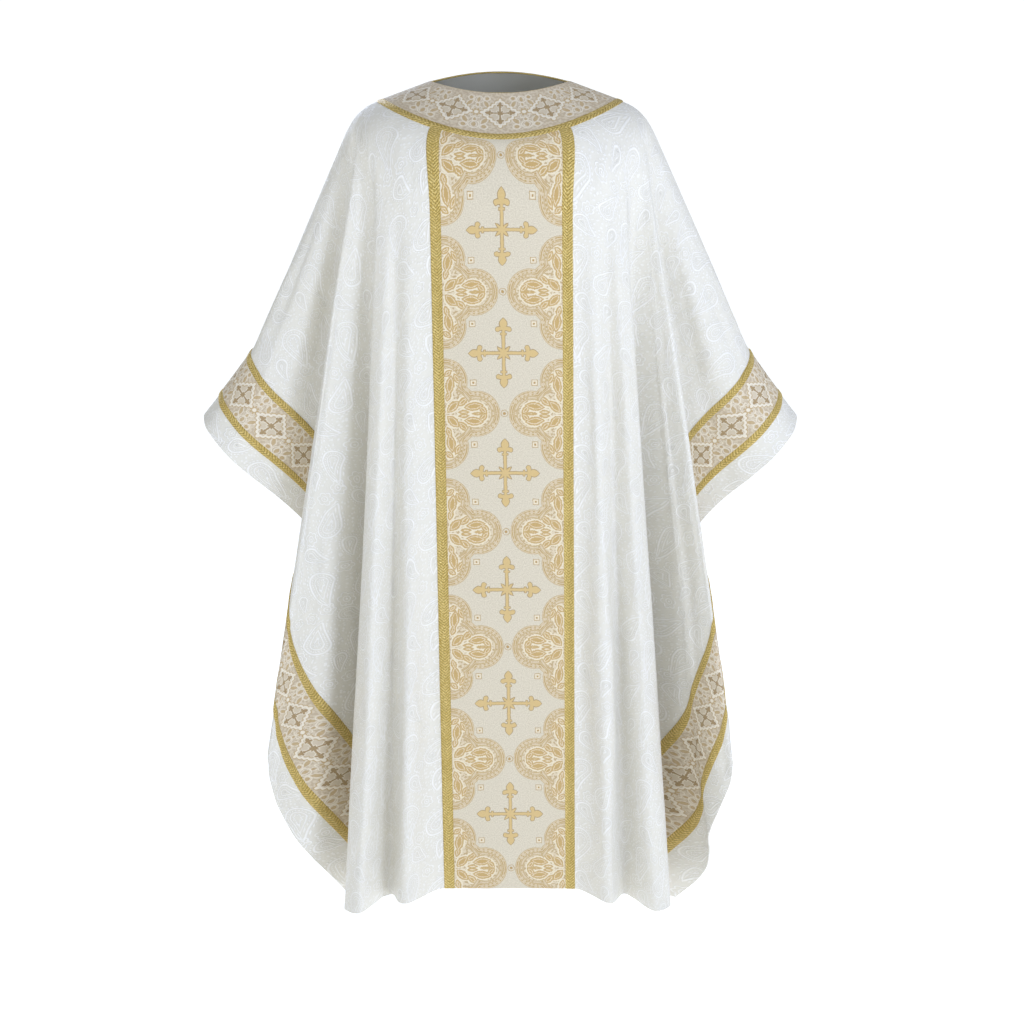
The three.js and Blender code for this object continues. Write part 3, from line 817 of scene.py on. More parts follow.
# ---- Materials ----------------------------------------------------------------------------


@dataclass
class Wire:
    """A value, colour or vector on its way through a material, with arithmetic for values."""

    loom: "Loom"
    socket: bpy.types.NodeSocket

    def __add__(self, other: "Wire | float") -> "Wire":
        """Sum."""
        return self.loom.math("ADD", self, other)

    __radd__ = __add__

    def __sub__(self, other: "Wire | float") -> "Wire":
        """Difference."""
        return self.loom.math("SUBTRACT", self, other)

    def __rsub__(self, other: float) -> "Wire":
        """Difference from a number."""
        return self.loom.math("SUBTRACT", other, self)

    def __mul__(self, other: "Wire | float") -> "Wire":
        """Product."""
        return self.loom.math("MULTIPLY", self, other)

    __rmul__ = __mul__

    def __truediv__(self, other: "Wire | float") -> "Wire":
        """Quotient."""
        return self.loom.math("DIVIDE", self, other)

    def __mod__(self, other: float) -> "Wire":
        """Remainder that is never negative."""
        return self.loom.math("FLOORED_MODULO", self, other)

    def __abs__(self) -> "Wire":
        """Size without sign."""
        return self.loom.math("ABSOLUTE", self)

    def sin(self) -> "Wire":
        """Sine of an angle in radians."""
        return self.loom.math("SINE", self)

    def least(self, other: "Wire | float") -> "Wire":
        """The smaller of two."""
        return self.loom.math("MINIMUM", self, other)

    def most(self, other: "Wire | float") -> "Wire":
        """The larger of two."""
        return self.loom.math("MAXIMUM", self, other)


class Loom:
    """Builds the nodes of one material, or of the world."""

    def __init__(self, owner: bpy.types.Material | bpy.types.World) -> None:
        """Starts with no nodes.

        Args:
            owner: the material or world.
        """
        owner.use_nodes = True
        self.owner = owner
        self.tree = owner.node_tree
        self.tree.nodes.clear()

    @classmethod
    def of_material(cls, name: str) -> "Loom":
        """Starts a new material of a name."""
        return cls(bpy.data.materials.new(name))

    def node(self, kind: str, settings: dict, inputs: dict) -> bpy.types.Node:
        """Adds a node.

        Args:
            kind: the node's type.
            settings: its properties, set first.
            inputs: values or wires by socket name or number.

        Returns:
            The node.
        """
        made = self.tree.nodes.new(kind)
        for key, value in settings.items():
            setattr(made, key, value)
        for key, value in inputs.items():
            if isinstance(value, Wire):
                self.tree.links.new(value.socket, made.inputs[key])
            else:
                made.inputs[key].default_value = value
        return made

    def math(self, operation: str, *values: Wire | float, clamp: bool = False) -> Wire:
        """Adds a Math node and returns its result."""
        settings = {"operation": operation, "use_clamp": clamp}
        return self.out(self.node("ShaderNodeMath", settings, dict(enumerate(values))))

    def vector(self, operation: str, *values: Wire | tuple) -> Wire:
        """Adds a Vector Math node and returns its vector, or its value for a distance."""
        made = self.node("ShaderNodeVectorMath", {"operation": operation}, dict(enumerate(values)))
        return self.out(made, "Value" if operation == "DISTANCE" else "Vector")

    def out(self, node: bpy.types.Node, name: str | int = 0) -> Wire:
        """One output of a node."""
        return Wire(self, node.outputs[name])

    def parts(self, point: Wire) -> tuple[Wire, Wire]:
        """The two coordinates of a flat point."""
        made = self.node("ShaderNodeSeparateXYZ", {}, {0: point})
        return self.out(made), self.out(made, 1)

    def point(self, x: Wire | float, y: Wire | float) -> Wire:
        """Joins two values into a flat point."""
        return self.out(self.node("ShaderNodeCombineXYZ", {}, {0: x, 1: y}))

    def mix(self, factor: Wire | float, low: Wire | Colour, high: Wire | Colour) -> Wire:
        """Blends two colours; a factor of 0 gives the first."""
        ends = [c if isinstance(c, Wire) else (*c, 1.0) for c in (low, high)]
        settings = {"data_type": "RGBA", "clamp_factor": True}
        return self.out(self.node("ShaderNodeMix", settings, {0: factor, 6: ends[0], 7: ends[1]}), 2)

    def paint(self, colour: Wire | Colour, *coats: tuple) -> Wire:
        """Lays coats over a colour in their order, each a factor and a colour."""
        return functools.reduce(lambda under, coat: self.mix(coat[0], under, coat[1]), coats, colour)

    def polar(self, point: Wire, centre: tuple[float, float]) -> tuple[Wire, Wire]:
        """Distance of a point from a centre and its angle round it in radians."""
        x, y = self.parts(self.vector("SUBTRACT", point, (*centre, 0.0)))
        return self.math("SQRT", x * x + y * y), self.math("ARCTAN2", y, x)

    def ribs(self, place: Wire, repeat: float) -> Wire:
        """Even ribs from 0 to 1 across a coordinate."""
        return (place * (TURN / repeat)).sin() * 0.5 + 0.5

    def inside(self, distance: Wire, soft: float = 0.35) -> Wire:
        """1 where a distance is negative and 0 where it is positive, with a soft step."""
        return self.math("MULTIPLY_ADD", distance, -0.5 / soft, 0.5, clamp=True)

    def line(self, distance: Wire, width: float, soft: float = 0.35) -> Wire:
        """1 on a line of a width along a distance of nought."""
        return self.inside(abs(distance) - width / 2, soft)

    def lines(self, distance: Wire, *marks: tuple[float, float]) -> Wire:
        """1 on any of several lines, each a distance and a width."""
        return functools.reduce(Wire.most, (self.line(distance - at, width) for at, width in marks))

    def circle(self, point: Wire, centre: tuple[float, float], radius: float) -> Wire:
        """Distance outside a circle."""
        return self.vector("DISTANCE", point, (*centre, 0.0)) - radius

    def placed(
        self, point: Wire, centre: tuple, turn: float, size: tuple = (1.0, 1.0)
    ) -> tuple[Wire, Wire]:
        """Coordinates of a point as an ornament sees it.

        Args:
            point: the flat point.
            centre: middle of the ornament.
            turn: its direction in degrees.
            size: its two units of length.

        Returns:
            The two coordinates.
        """
        at = {"Location": (*centre, 0.0), "Rotation": (0, 0, math.radians(turn)), "Scale": (*size, 1.0)}
        own = self.node("ShaderNodeMapping", {"vector_type": "TEXTURE"}, {"Vector": point, **at})
        return self.parts(self.out(own))

    def leaf(self, point: Wire, centre: tuple, half: tuple, turn: float) -> Wire:
        """Distance outside a pointed leaf: its half width shrinks as the square of its length.

        Args:
            point: the flat point.
            centre: middle of the leaf.
            half: half its length and half its width.
            turn: its direction in degrees.

        Returns:
            The distance, near enough, in the point's unit.
        """
        x, y = self.placed(point, centre, turn, half)
        return (abs(y) - (1 - x * x)) * half[1] * 0.8

    def leaves(self, point: Wire, *table: tuple) -> Wire:
        """Distance outside the nearest of several leaves, each a row of leaf's arguments."""
        return functools.reduce(Wire.least, (self.leaf(point, *row) for row in table))

    def folded(self, value: Wire, repeat: float) -> Wire:
        """Distance of a coordinate from the nearest multiple of a repeat."""
        return abs((value + repeat / 2) % repeat - repeat / 2)

    def cross(self, x: Wire, y: Wire, arm: float) -> Wire:
        """Distance outside a cross with budded ends; x and y aren't negative.

        One arm is drawn along the larger coordinate: a straight shaft, a collar, a pointed end bud,
        two round side buds on their stalks, and a leaf in the corner of the arms.

        Args:
            x: distance from the upright.
            y: distance from the crossbar.
            arm: length of an arm.

        Returns:
            The distance.
        """
        long, short = x.most(y), x.least(y)
        point = self.point(long, short)
        shaft = (short - 0.038 * arm).most(long - 0.8 * arm)
        collar = (abs(long - 0.56 * arm) - 0.022 * arm).most(short - 0.085 * arm)
        side_bud = self.circle(point, (0.70 * arm, 0.165 * arm), 0.062 * arm)
        leaves = self.leaves(
            point,
            ((0.86 * arm, 0.0), (0.17 * arm, 0.105 * arm), 0),
            ((0.72 * arm, 0.09 * arm), (0.12 * arm, 0.05 * arm), 80),
            ((0.09 * arm, 0.09 * arm), (0.12 * arm, 0.035 * arm), 45),
        )
        return shaft.least(collar).least(side_bud).least(leaves)

    def noise(self, point: Wire, size: float, detail: float = 2.0) -> Wire:
        """Soft noise from 0 to 1 with lumps of a size in the point's unit."""
        inputs = {"Vector": point, "Scale": 1 / size, "Detail": detail}
        return self.out(self.node("ShaderNodeTexNoise", {}, inputs))

    def flat_place(self) -> tuple[Wire, Wire, Wire]:
        """The cloth's own coordinates in millimetres: across, along, and both as a point."""
        uv = self.out(self.node("ShaderNodeUVMap", {"uv_map": UV_NAME}, {}))
        point = self.vector("MULTIPLY", uv, (1 / METRES, 1 / METRES, 0.0))
        return *self.parts(point), point

    def finish(
        self,
        colour: Wire | tuple,
        roughness: Wire | float,
        height: Wire,
        depth: float,
        **fixed: float | tuple,
    ) -> bpy.types.Material:
        """Ends a material with a Principled shader.

        Args:
            colour: base colour, with its alpha if it is constant.
            roughness: roughness.
            height: relief from 0 to 1.
            depth: depth of the relief in metres.
            **fixed: constants for other sockets, by name with underscores for spaces.

        Returns:
            The material.
        """
        bump = self.node("ShaderNodeBump", {}, {"Height": height, "Distance": depth, "Strength": 1.0})
        inputs = {"Base Color": colour, "Roughness": roughness, "Normal": self.out(bump)}
        inputs.update({key.replace("_", " "): value for key, value in fixed.items()})
        shader = self.node("ShaderNodeBsdfPrincipled", {}, inputs)
        self.node("ShaderNodeOutputMaterial", {}, {"Surface": self.out(shader)})
        return self.owner


@dataclass(frozen=True)
class Drop:
    """A bent teardrop of the damask: its place in the tile, direction, radius, length and bend."""

    centre: tuple[float, float]
    turn: float
    radius: float
    length: float
    bend: float


@dataclass(frozen=True)
class Damask:
    """Ivory figured satin: fine glossy teardrops, rosettes and sprigs on a matter ground."""

    name: str = "ivory_damask"
    ground: Colour = (0.77, 0.743, 0.655)
    figure: Colour = (0.93, 0.915, 0.875)
    aged: Colour = (0.80, 0.755, 0.62)
    ground_rough: float = 0.58
    figure_rough: float = 0.34
    tile: tuple[float, float] = (96.0, 122.0)
    warp: float = 24.0  # how far the figures are bent
    warp_size: float = 70.0
    line: float = 2.4
    weave: float = 1.1
    lumps: float = 55.0  # size of the soft unevenness
    sprig: float = 6.5
    dots: int = 22  # dots round a teardrop
    petals: int = 7  # petals round its eye
    relief: float = 0.0005  # metres
    drops: tuple[Drop, ...] = (
        Drop((24.0, 24.0), 24.0, 17.0, 42.0, 10.0),
        Drop((68.0, 62.0), 205.0, 15.0, 40.0, -10.0),
        Drop((30.0, 94.0), -35.0, 12.0, 26.0, 8.0),
        Drop((82.0, 98.0), 30.0, 9.0, 22.0, 6.0),
    )
    rosettes: tuple[tuple[float, float], ...] = ((38.0, 70.0), (84.0, 16.0), (12.0, 70.0), (58.0, 12.0))

    def material(self) -> bpy.types.Material:
        """Alternate columns of the tile are half a tile lower; noise bends the figures a little."""
        loom = Loom.of_material(self.name)
        across, along, point = loom.flat_place()
        inputs = {"Vector": point, "Scale": 1 / self.warp_size, "Detail": 1.0}
        bent = loom.out(loom.node("ShaderNodeTexNoise", {}, inputs), "Color")
        shift = loom.vector("SUBTRACT", bent, (0.5, 0.5, 0.5))
        shift = loom.vector("MULTIPLY", shift, (self.warp, self.warp, 0.0))
        u, v = loom.parts(loom.vector("ADD", point, shift))
        width, height = self.tile
        odd = loom.math("FLOOR", u / width) % 2.0
        tile = loom.point(u % width, (v + odd * (height / 2)) % height)
        distances, marks = zip(
            *(self.teardrop(loom, tile, drop) for drop in self.drops),
            *(self.rosette(loom, tile, centre) for centre in self.rosettes),
        )
        figure = functools.reduce(Wire.most, marks, loom.inside(loom.circle(tile, (0.0, 0.0), 3.0)))
        nearest = functools.reduce(Wire.least, distances)
        inputs = {"Vector": loom.point(u + v * 0.3, v), "Scale": 1 / self.sprig, "Randomness": 0.9}
        sprigs = loom.node("ShaderNodeTexVoronoi", {"voronoi_dimensions": "2D"}, inputs)
        sprigs = loom.inside(loom.out(sprigs, "Distance") - 0.25, 0.06)
        figure = figure.most(sprigs * loom.inside(self.sprig - nearest) * 0.7)
        figure = figure * (0.7 + loom.inside(0.46 - loom.noise(point, 7.0), 0.08) * 0.3)
        soft = loom.noise(point, 160.0)
        lumps = loom.noise(loom.point(across * 1.6, along * 0.8), self.lumps)
        slub = loom.noise(loom.point(across * 4, along), 2.4)
        thread = loom.ribs(across, self.weave) + loom.ribs(along, self.weave)
        coats = (figure * 0.85 + slub * 0.15, self.figure), ((soft - 0.46) * 0.8, self.aged)
        colour = loom.paint(self.ground, *coats)
        roughness = self.ground_rough - figure * (self.ground_rough - self.figure_rough) + slub * 0.08
        height = figure * 0.9 + thread * 0.12 + slub * 0.3 + lumps * 8.0
        sheen = {"Sheen_Weight": 0.2, "Sheen_Roughness": 0.4}
        return loom.finish(colour, roughness, height, self.relief, **sheen)

    def teardrop(self, loom: Loom, tile: Wire, drop: Drop) -> tuple[Wire, Wire]:
        """A teardrop drawn with two outlines, dots between, a fringe and a petalled eye.

        The half width is a half circle below the middle and falls as a power of the rest of the
        length above it, and the tip is bent aside as the square of the height.

        Args:
            loom: the material's builder.
            tile: the place in the tile.
            drop: the teardrop.

        Returns:
            The distance outside it in millimetres, and 1 on its marks.
        """
        x, y = loom.placed(tile, drop.centre, drop.turn)
        above = y.most(0.0)
        x = x - above * above * (drop.bend / drop.length**2)
        size = loom.math("SQRT", x * x + y.least(0.0) * y.least(0.0))
        taper = loom.math("POWER", (1 - above / drop.length).most(0.0), 0.7) * drop.radius
        distance = (size - taper).most(y - drop.length)
        angle = loom.math("ARCTAN2", y, x)
        beads = loom.inside((angle * self.dots).sin())
        petals = abs((angle * (self.petals / 2)).sin()) * 2.2
        marks = loom.lines(distance, (0.0, self.line), (-7.4, self.line * 0.6))
        marks = marks.most(loom.line(distance + 3.9, 1.9) * beads)
        marks = marks.most(loom.line(distance - 3.6, 1.8) * (1 - beads))
        return distance, marks.most(loom.line(distance + 10.6 + petals, 1.6))

    @staticmethod
    def rosette(loom: Loom, tile: Wire, centre: tuple[float, float]) -> tuple[Wire, Wire]:
        """Distance outside a small rosette, and 1 on its marks: petals round an eye."""
        size, angle = loom.polar(tile, centre)
        petals = size - 7.5 - abs((angle * 3).sin()) * 3.0
        marks = loom.line(petals, 1.8).most(loom.line(size - 4.0, 1.4)).most(loom.inside(size - 1.4))
        return size - 11.0, marks


@dataclass(frozen=True)
class DamaskReverse:
    """Back of the figured satin: plain, matt and a little greyer."""

    name: str = "damask_reverse"
    colour: Colour = (0.74, 0.725, 0.66)
    ribs: Colour = (0.80, 0.785, 0.72)
    rib: float = 1.6
    relief: float = 0.0003  # metres

    def material(self) -> bpy.types.Material:
        """A twill of slanting ribs with soft unevenness."""
        loom = Loom.of_material(self.name)
        across, along, point = loom.flat_place()
        twill = loom.ribs(across + along * 0.6, self.rib)
        uneven = loom.noise(point, 40.0, 3.0)
        colour = loom.mix(uneven * 0.5 + twill * 0.12, self.colour, self.ribs)
        return loom.finish(colour, 0.75, twill * 0.5 + uneven * 0.5, self.relief, Sheen_Weight=0.15)


@dataclass(frozen=True)
class OrphreyBrocade:
    """Pale brocade: silver-cream lozenges with budded crosses between beaded quatrefoils."""

    name: str = "orphrey_brocade"
    repeat: float = 194.0
    half_width: float = 95.0
    first_ring: float = 3.0
    lozenge: Colour = (0.61, 0.545, 0.41)
    shine: Colour = (0.85, 0.785, 0.635)
    field: Colour = (0.545, 0.40, 0.21)
    cream: Colour = (0.86, 0.77, 0.58)
    tan: Colour = (0.38, 0.245, 0.09)
    amber: Colour = (0.50, 0.325, 0.12)
    gold: Colour = (0.66, 0.455, 0.175)
    pale_gold: Colour = (0.74, 0.57, 0.27)
    cross_arm: float = 54.0
    rib: float = 1.3  # width of a rib of the weave
    relief: float = 0.0005  # metres
    lobes: tuple = (((51, 0), 37), ((0, 53), 37), ((0, 0), 56))  # side, end and middle of a quatrefoil
    bead_count: int = 28  # beads round a lobe
    ring: tuple = ((95, 0), 5.4)
    square: tuple = (46, 50, 5.0)  # its middle and its half width
    leaves: tuple = (  # centre, half sizes and direction of each
        ((46, 12), (16, 7.0), 6),
        ((61, 6), (9, 5.0), -48),
        ((29, 20), (11, 5.4), 42),
        ((9, 47), (16, 7.0), 82),
        ((20, 57), (10, 5.0), 118),
        ((6, 66), (8, 4.6), 40),
        ((13, 12), (13, 7.0), 45),
        ((6, 29), (9, 4.6), 74),
        ((52, 0), (10, 2.6), 0),
        ((30, 3), (9, 3.4), 0),
    )

    def material(self) -> bpy.types.Material:
        """Each quatrefoil is four lobes about a middle on the braid's edge, at every ring level."""
        loom = Loom.of_material(self.name)
        across, along, point = loom.flat_place()
        fray, tinsel = loom.noise(point, 1.9), loom.noise(point, 4.0, 1.0)
        wobble = (loom.noise(point, 5.0, 1.0) - 0.5) * 1.7
        middle = abs(across) + wobble
        x = self.half_width - middle
        y = loom.folded(along - self.first_ring, self.repeat) + wobble
        cell = loom.point(x, y)
        lobes = [loom.circle(cell, centre, radius) for centre, radius in self.lobes]
        lobes = functools.reduce(Wire.least, lobes)
        depth = 0 - lobes
        side, end = self.lobes[0][0], self.lobes[1][0]
        beads = self.beads(loom, cell, side).most(self.beads(loom, loom.point(y, x), end[::-1]))
        # From the edge inward: a cream line, bricks, a tan line, small pearls and a cream line.
        edging = loom.lines(depth, (3.0, 1.7), (6.4, 1.7)) * beads
        edging = edging.most(loom.lines(depth, (0.2, 1.0), (8.7, 1.0), (13.2, 1.0)))
        edging = edging.most(loom.line(depth - 11.0, 2.0) * (1 - beads))
        leaves = loom.leaves(cell, *self.leaves) + (fray - 0.5) * 2.6
        ring = loom.circle(cell, *self.ring)
        square = abs(x - self.square[0]).most(abs(y - self.square[1])) - self.square[2]
        cross = loom.cross(middle, abs(self.repeat / 2 - y), self.cross_arm)
        figured = loom.paint(
            self.field,
            (loom.inside(0.47 - tinsel, 0.05) * 0.7, self.cream),
            (loom.line(leaves - 1.4, 1.8), self.cream),
            (loom.inside(leaves), loom.mix(fray, self.amber, self.gold)),
            (loom.line(leaves + 2.3, 0.8), self.cream),
            (loom.inside(depth - 14.2), loom.mix(fray, self.cream, self.field)),
            (edging, loom.mix(fray, self.tan, self.gold)),
        )
        weave = loom.ribs(along + across * 0.5, self.rib)
        colour = loom.paint(
            loom.mix((fray - 0.5) * 1.8 + 0.45, self.lozenge, self.shine),
            (loom.inside(lobes), figured),
            (loom.line(square + 0.5, 1.0).most(loom.inside(square + 3.4)), self.amber),
            (loom.line(square + 2.2, 1.8), self.cream),
            (loom.line(ring, 1.0).most(loom.inside(ring + 3.0)), self.amber),
            (loom.line(cross - 0.4, 1.1), self.tan),
            (loom.inside(cross), loom.mix(fray, self.gold, self.pale_gold)),
            (weave * 0.14, self.tan),
        )
        metal = loom.inside(cross).most(loom.inside(leaves) * loom.inside(lobes) * 0.7)
        height = metal * 0.4 + weave * 0.3 + fray * 0.35
        return loom.finish(colour, 0.60 - metal * 0.2, height, self.relief, Sheen_Weight=0.12)

    def beads(self, loom: Loom, cell: Wire, centre: tuple[float, float]) -> Wire:
        """1 on beads round a middle."""
        return loom.inside(0.25 - (loom.polar(cell, centre)[1] * self.bead_count).sin(), 0.3)


@dataclass(frozen=True)
class CrossBrocade:
    """Tan brocade of yoke and side bands: small crosses in scalloped diamonds, with scrolls between."""

    name: str = "yoke_brocade"
    repeat: float = 68.0
    field: Colour = (0.585, 0.475, 0.325)
    fleck: Colour = (0.71, 0.615, 0.46)
    cream: Colour = (0.88, 0.81, 0.67)
    light: Colour = (0.65, 0.56, 0.415)
    brown: Colour = (0.27, 0.195, 0.11)
    gold: Colour = (0.54, 0.375, 0.165)
    cross_arm: float = 21.0
    rib: float = 1.3  # width of a rib of the weave
    relief: float = 0.0005  # metres
    diamond: float = 17.0  # distance of a diamond's edge from its middle
    scallop: float = 7.6  # length of a scallop on that edge
    palmette: float = 8.5
    rosette: float = 3.2
    scroll: tuple = ((0, 25), 7.0)
    curl: tuple = ((13, 28), 5.0)
    petals: tuple = (  # centre, half sizes and direction of each
        ((0, 25), (5, 2.8), 90),
        ((13, 17), (7, 2.8), 120),
        ((13, 28), (3, 1.8), 40),
        ((0, 15), (3.4, 1.8), 90),
    )

    def material(self) -> bpy.types.Material:
        """Across runs along the strip and along runs over it, from its middle line."""
        loom = Loom.of_material(self.name)
        across, along, point = loom.flat_place()
        fray, tinsel = loom.noise(point, 1.9), loom.noise(point, 4.2, 1.0)
        wobble = (loom.noise(point, 4.5, 1.0) - 0.5) * 1.5
        x, y = loom.folded(across, self.repeat) + wobble, abs(along) + wobble
        turned_x, turned_y = (x + y) * math.sqrt(0.5), abs(x - y) * math.sqrt(0.5)
        diamond = turned_x - abs((turned_y * (math.pi / self.scallop)).sin()) * 2.4 - self.diamond
        cross = loom.cross(x, y, self.cross_arm)
        between = loom.point(self.repeat / 2 - x, y)
        angle = loom.polar(between, (0.0, 0.0))[1]
        palmette = loom.circle(between, (0, 0), self.palmette) - abs((angle * 4).sin()) * 4.0
        scroll, curl = loom.circle(between, *self.scroll), loom.circle(between, *self.curl)
        petals = loom.leaves(between, *self.petals).least(palmette + 4.4) + (fray - 0.5) * 1.8
        lines = loom.line(scroll, 1.5).most(loom.line(curl, 1.3)).most(loom.line(palmette, 1.6))
        weave = loom.ribs(along + across * 0.5, self.rib)
        colour = loom.paint(
            self.field,
            (loom.inside(0.5 - tinsel, 0.06), self.fleck),
            (loom.inside(petals) * 0.7, self.gold),
            (loom.line(petals - 1.0, 1.0) * 0.8, self.cream),
            (lines * 0.85, self.cream),
            (loom.line(curl + 2.6, 1.2), self.gold),
            (loom.inside(loom.circle(between, (0, 0), self.rosette)), self.cream),
            (loom.inside(diamond), loom.mix(fray, self.light, self.fleck)),
            (loom.line(diamond, 3.4), self.cream),
            (loom.line(diamond + 3.4, 1.0), self.gold),
            (loom.line(diamond - 2.6, 1.0), self.gold),
            (loom.line(cross - 0.8, 1.2), self.cream),
            (loom.inside(cross - 0.5), loom.mix(fray, self.brown, self.gold)),
            (weave * 0.15, self.brown),
        )
        height = loom.inside(cross).most(loom.line(diamond, 3.4)) * 0.4 + weave * 0.3 + fray * 0.35
        return loom.finish(colour, 0.58, height, self.relief, Sheen_Weight=0.12)


@dataclass(frozen=True)
class GoldBraid:
    """Flat plaited braid of gold thread: slanting strands that meet in the middle."""

    name: str = "gold_braid"
    # bright: colour of the painted highlights, also of a slow random change of tone; dark: colour of
    # the painted shade between strands
    bright: Colour = (0.93, 0.74, 0.30)
    middle: Colour = (0.60, 0.425, 0.10)
    dark: Colour = (0.30, 0.20, 0.05)
    strand: float = 4.8
    thread: float = 0.9
    metallic: float = 0.35
    relief: float = 0.0011  # metres

    def material(self) -> bpy.types.Material:
        """Along is the length of the braid and across runs from its middle."""
        loom = Loom.of_material(self.name)
        along, across, point = loom.flat_place()
        turn = math.pi / self.strand
        slant = loom.noise(point, 5.0, 1.0) * 1.2
        plait = abs(((along + abs(across) * 0.9 + slant) * turn).sin())
        crossing = abs(((along - across * 1.4 + 2.0) * turn).sin())
        thread = loom.ribs(along * 1.3 + abs(across), self.thread)
        glint, slow = loom.noise(point, 2.6), loom.noise(point, 40.0)
        gap = loom.inside(plait - 0.30, 0.16).most(loom.inside(crossing - 0.14, 0.1) * 0.6)
        # Painted highlights: noise glints and the middles of the strands lighten the gold, with a slow
        # random change of tone; painted shade darkens the gaps between strands.
        shade = (glint - 0.5) * 3.4 + (slow - 0.5) * 0.8 + plait * 0.5 - 0.05
        colour = loom.paint(self.middle, (shade, self.bright), (gap * 0.65, self.dark))
        height = plait * 0.7 + thread * 0.15 + glint * 0.15 - gap * 0.3
        return loom.finish(colour, 0.44 - glint * 0.1, height, self.relief, Metallic=self.metallic)


@dataclass(frozen=True)
class Floor:
    """Plain pale floor."""

    name: str = "pale_floor"
    colour: Colour = (0.90, 0.90, 0.90)
    glow: Colour = DAYLIGHT
    glow_strength: float = 0.78
    grain: float = 0.02  # metres
    relief: float = 0.0001  # metres

    def material(self) -> bpy.types.Material:
        """A matt white with a breath of grain."""
        loom = Loom.of_material(self.name)
        place = loom.out(loom.node("ShaderNodeTexCoord", {}, {}), "Object")
        grain = loom.noise(place, self.grain)
        glow = {"Emission_Strength": self.glow_strength, "Emission_Color": (*self.glow, 1.0)}
        colour = (*self.colour, 1.0)
        return loom.finish(colour, 0.9, grain, self.relief, Specular_IOR_Level=0.2, **glow)


@dataclass
class Finishes:
    """The materials of the vestment, made once."""

    damask: bpy.types.Material = field(default_factory=lambda: Damask().material())
    reverse: bpy.types.Material = field(default_factory=lambda: DamaskReverse().material())
    orphrey: bpy.types.Material = field(default_factory=lambda: OrphreyBrocade().material())
    yoke: bpy.types.Material = field(default_factory=lambda: CrossBrocade().material())
    braid: bpy.types.Material = field(default_factory=lambda: GoldBraid().material())


# ---- Pieces of the vestment ---------------------------------------------------------------


@dataclass
class ClothPanel:
    """One panel of damask with a turned hem, from shoulder seam round to shoulder seam."""

    cloth: Cloth
    panel: Panel
    finishes: Finishes
    half_wall: float = 0.8
    hem_turn: float = 16.0
    hem_wall: float = 0.9  # thickness that the turned hem adds
    hem_outward: float = 0.25  # share of it that shows on the face
    hem_step: float = 3.0  # width of the step at the stitch line
    hem_zone: float = 2.2  # width of the close rows, in turns of the hem
    column_gap: float = 11.0  # widest gap between columns at the hem
    column_turn: float = 9.0  # most that the cloth may turn between columns, in degrees
    samples: int = 4000  # places at which length and turn are measured
    rows_on_yoke: int = 9
    rows_over_chest: int = 10
    rows_in_fall: int = 56
    rows_in_hem: int = 9

    def half_places(self) -> Array:
        """Places of the columns of a half panel, from the centre line, closer where folds turn.

        Returns:
            The places; each step is an equal share of length plus turn.
        """
        drape = self.cloth.drape
        fine = np.linspace(*drape.half(self.panel), self.samples)
        side = np.ones_like(fine)
        strands = drape.strands(fine, side, self.panel)
        measure = np.zeros(len(fine))
        for share in (0.5, 1.0):
            ends = strands.worn(strands.to_knee + (strands.end - strands.to_knee) * share)
            step = np.diff(ends, axis=0)[:, :2]
            angle = np.unwrap(np.arctan2(step[:, 1], step[:, 0]))
            turn = np.degrees(np.abs(np.diff(angle, prepend=angle[0])))
            length = np.linalg.norm(np.diff(ends, axis=0), axis=1)
            measure[1:] += (length / self.column_gap + turn / self.column_turn) / 2
        total = np.cumsum(measure)
        count = int(np.ceil(total[-1]))
        return np.interp(np.linspace(0, total[-1], count + 1), total, fine)

    def columns(self) -> tuple[Array, Array]:
        """Places and sides of the whole panel's columns, in order round the body.

        Returns:
            The places and the signs of x.
        """
        half = self.half_places()
        place = np.concatenate([half[::-1], half[1:]])
        side = np.concatenate([-np.ones(len(half)), np.ones(len(half) - 1)])
        if self.panel is Panel.BACK:
            return place[::-1], side[::-1]
        return place, side

    def rows(self, to_knee: Array, end: Array) -> Array:
        """Distances w of the rows on each column: even on yoke, chest and fall, close at the hem.

        Args:
            to_knee: distances of the knees.
            end: distances of the outline.

        Returns:
            One row of distances for each column.
        """
        seam = np.full_like(end, self.cloth.drape.pattern.yoke_width)
        hem = end - self.hem_zone * self.hem_turn
        zones = (
            (np.zeros_like(end), seam, self.rows_on_yoke),
            (seam, to_knee, self.rows_over_chest),
            (to_knee, hem, self.rows_in_fall),
            (hem, end, self.rows_in_hem),
        )
        rows = [np.linspace(start, stop, count, endpoint=False, axis=1) for start, stop, count in zones]
        return np.concatenate([*rows, end[:, None]], axis=1)

    def surface(self) -> Surface:
        """The panel's creased middle surface."""
        place, side = self.columns()
        strands = self.cloth.drape.strands(place, side, self.panel)
        w = self.rows(strands.to_knee, strands.end)
        return self.cloth.surface(self.panel, place[:, None], side[:, None], w)

    def hem_share(self, flat: Array) -> Array:
        """1 on the turned hem and 0 inside it, with a step at the stitch line.

        Args:
            flat: flat places.

        Returns:
            The share at each place.
        """
        cut = self.cloth.drape.pattern
        s, t = np.abs(flat[..., 0]), flat[..., 1]
        away = np.minimum(cut.half_width - s, cut.hem(s, self.panel) - t)
        return np.clip((self.hem_turn - away) / self.hem_step + 0.5, 0, 1)

    def build(self) -> bpy.types.Object:
        """Makes the panel's shell.

        Returns:
            The panel.
        """
        surface = self.surface()
        hem = self.hem_wall * self.hem_share(surface.flat)
        outer = surface.raised(self.half_wall + self.hem_outward * hem)
        inner = surface.raised(-self.half_wall - (1 - self.hem_outward) * hem)
        name = f"{self.panel.value}_panel"
        finishes = [self.finishes.damask, self.finishes.reverse]
        piece = shell(f"{name}_cloth", outer, inner, surface.flat * METRES, finishes)
        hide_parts(name)
        return piece


class Across(Enum):
    """The direction of a grid in which a braid's crown runs from edge to edge."""

    COLUMNS = 0
    ROWS = 1


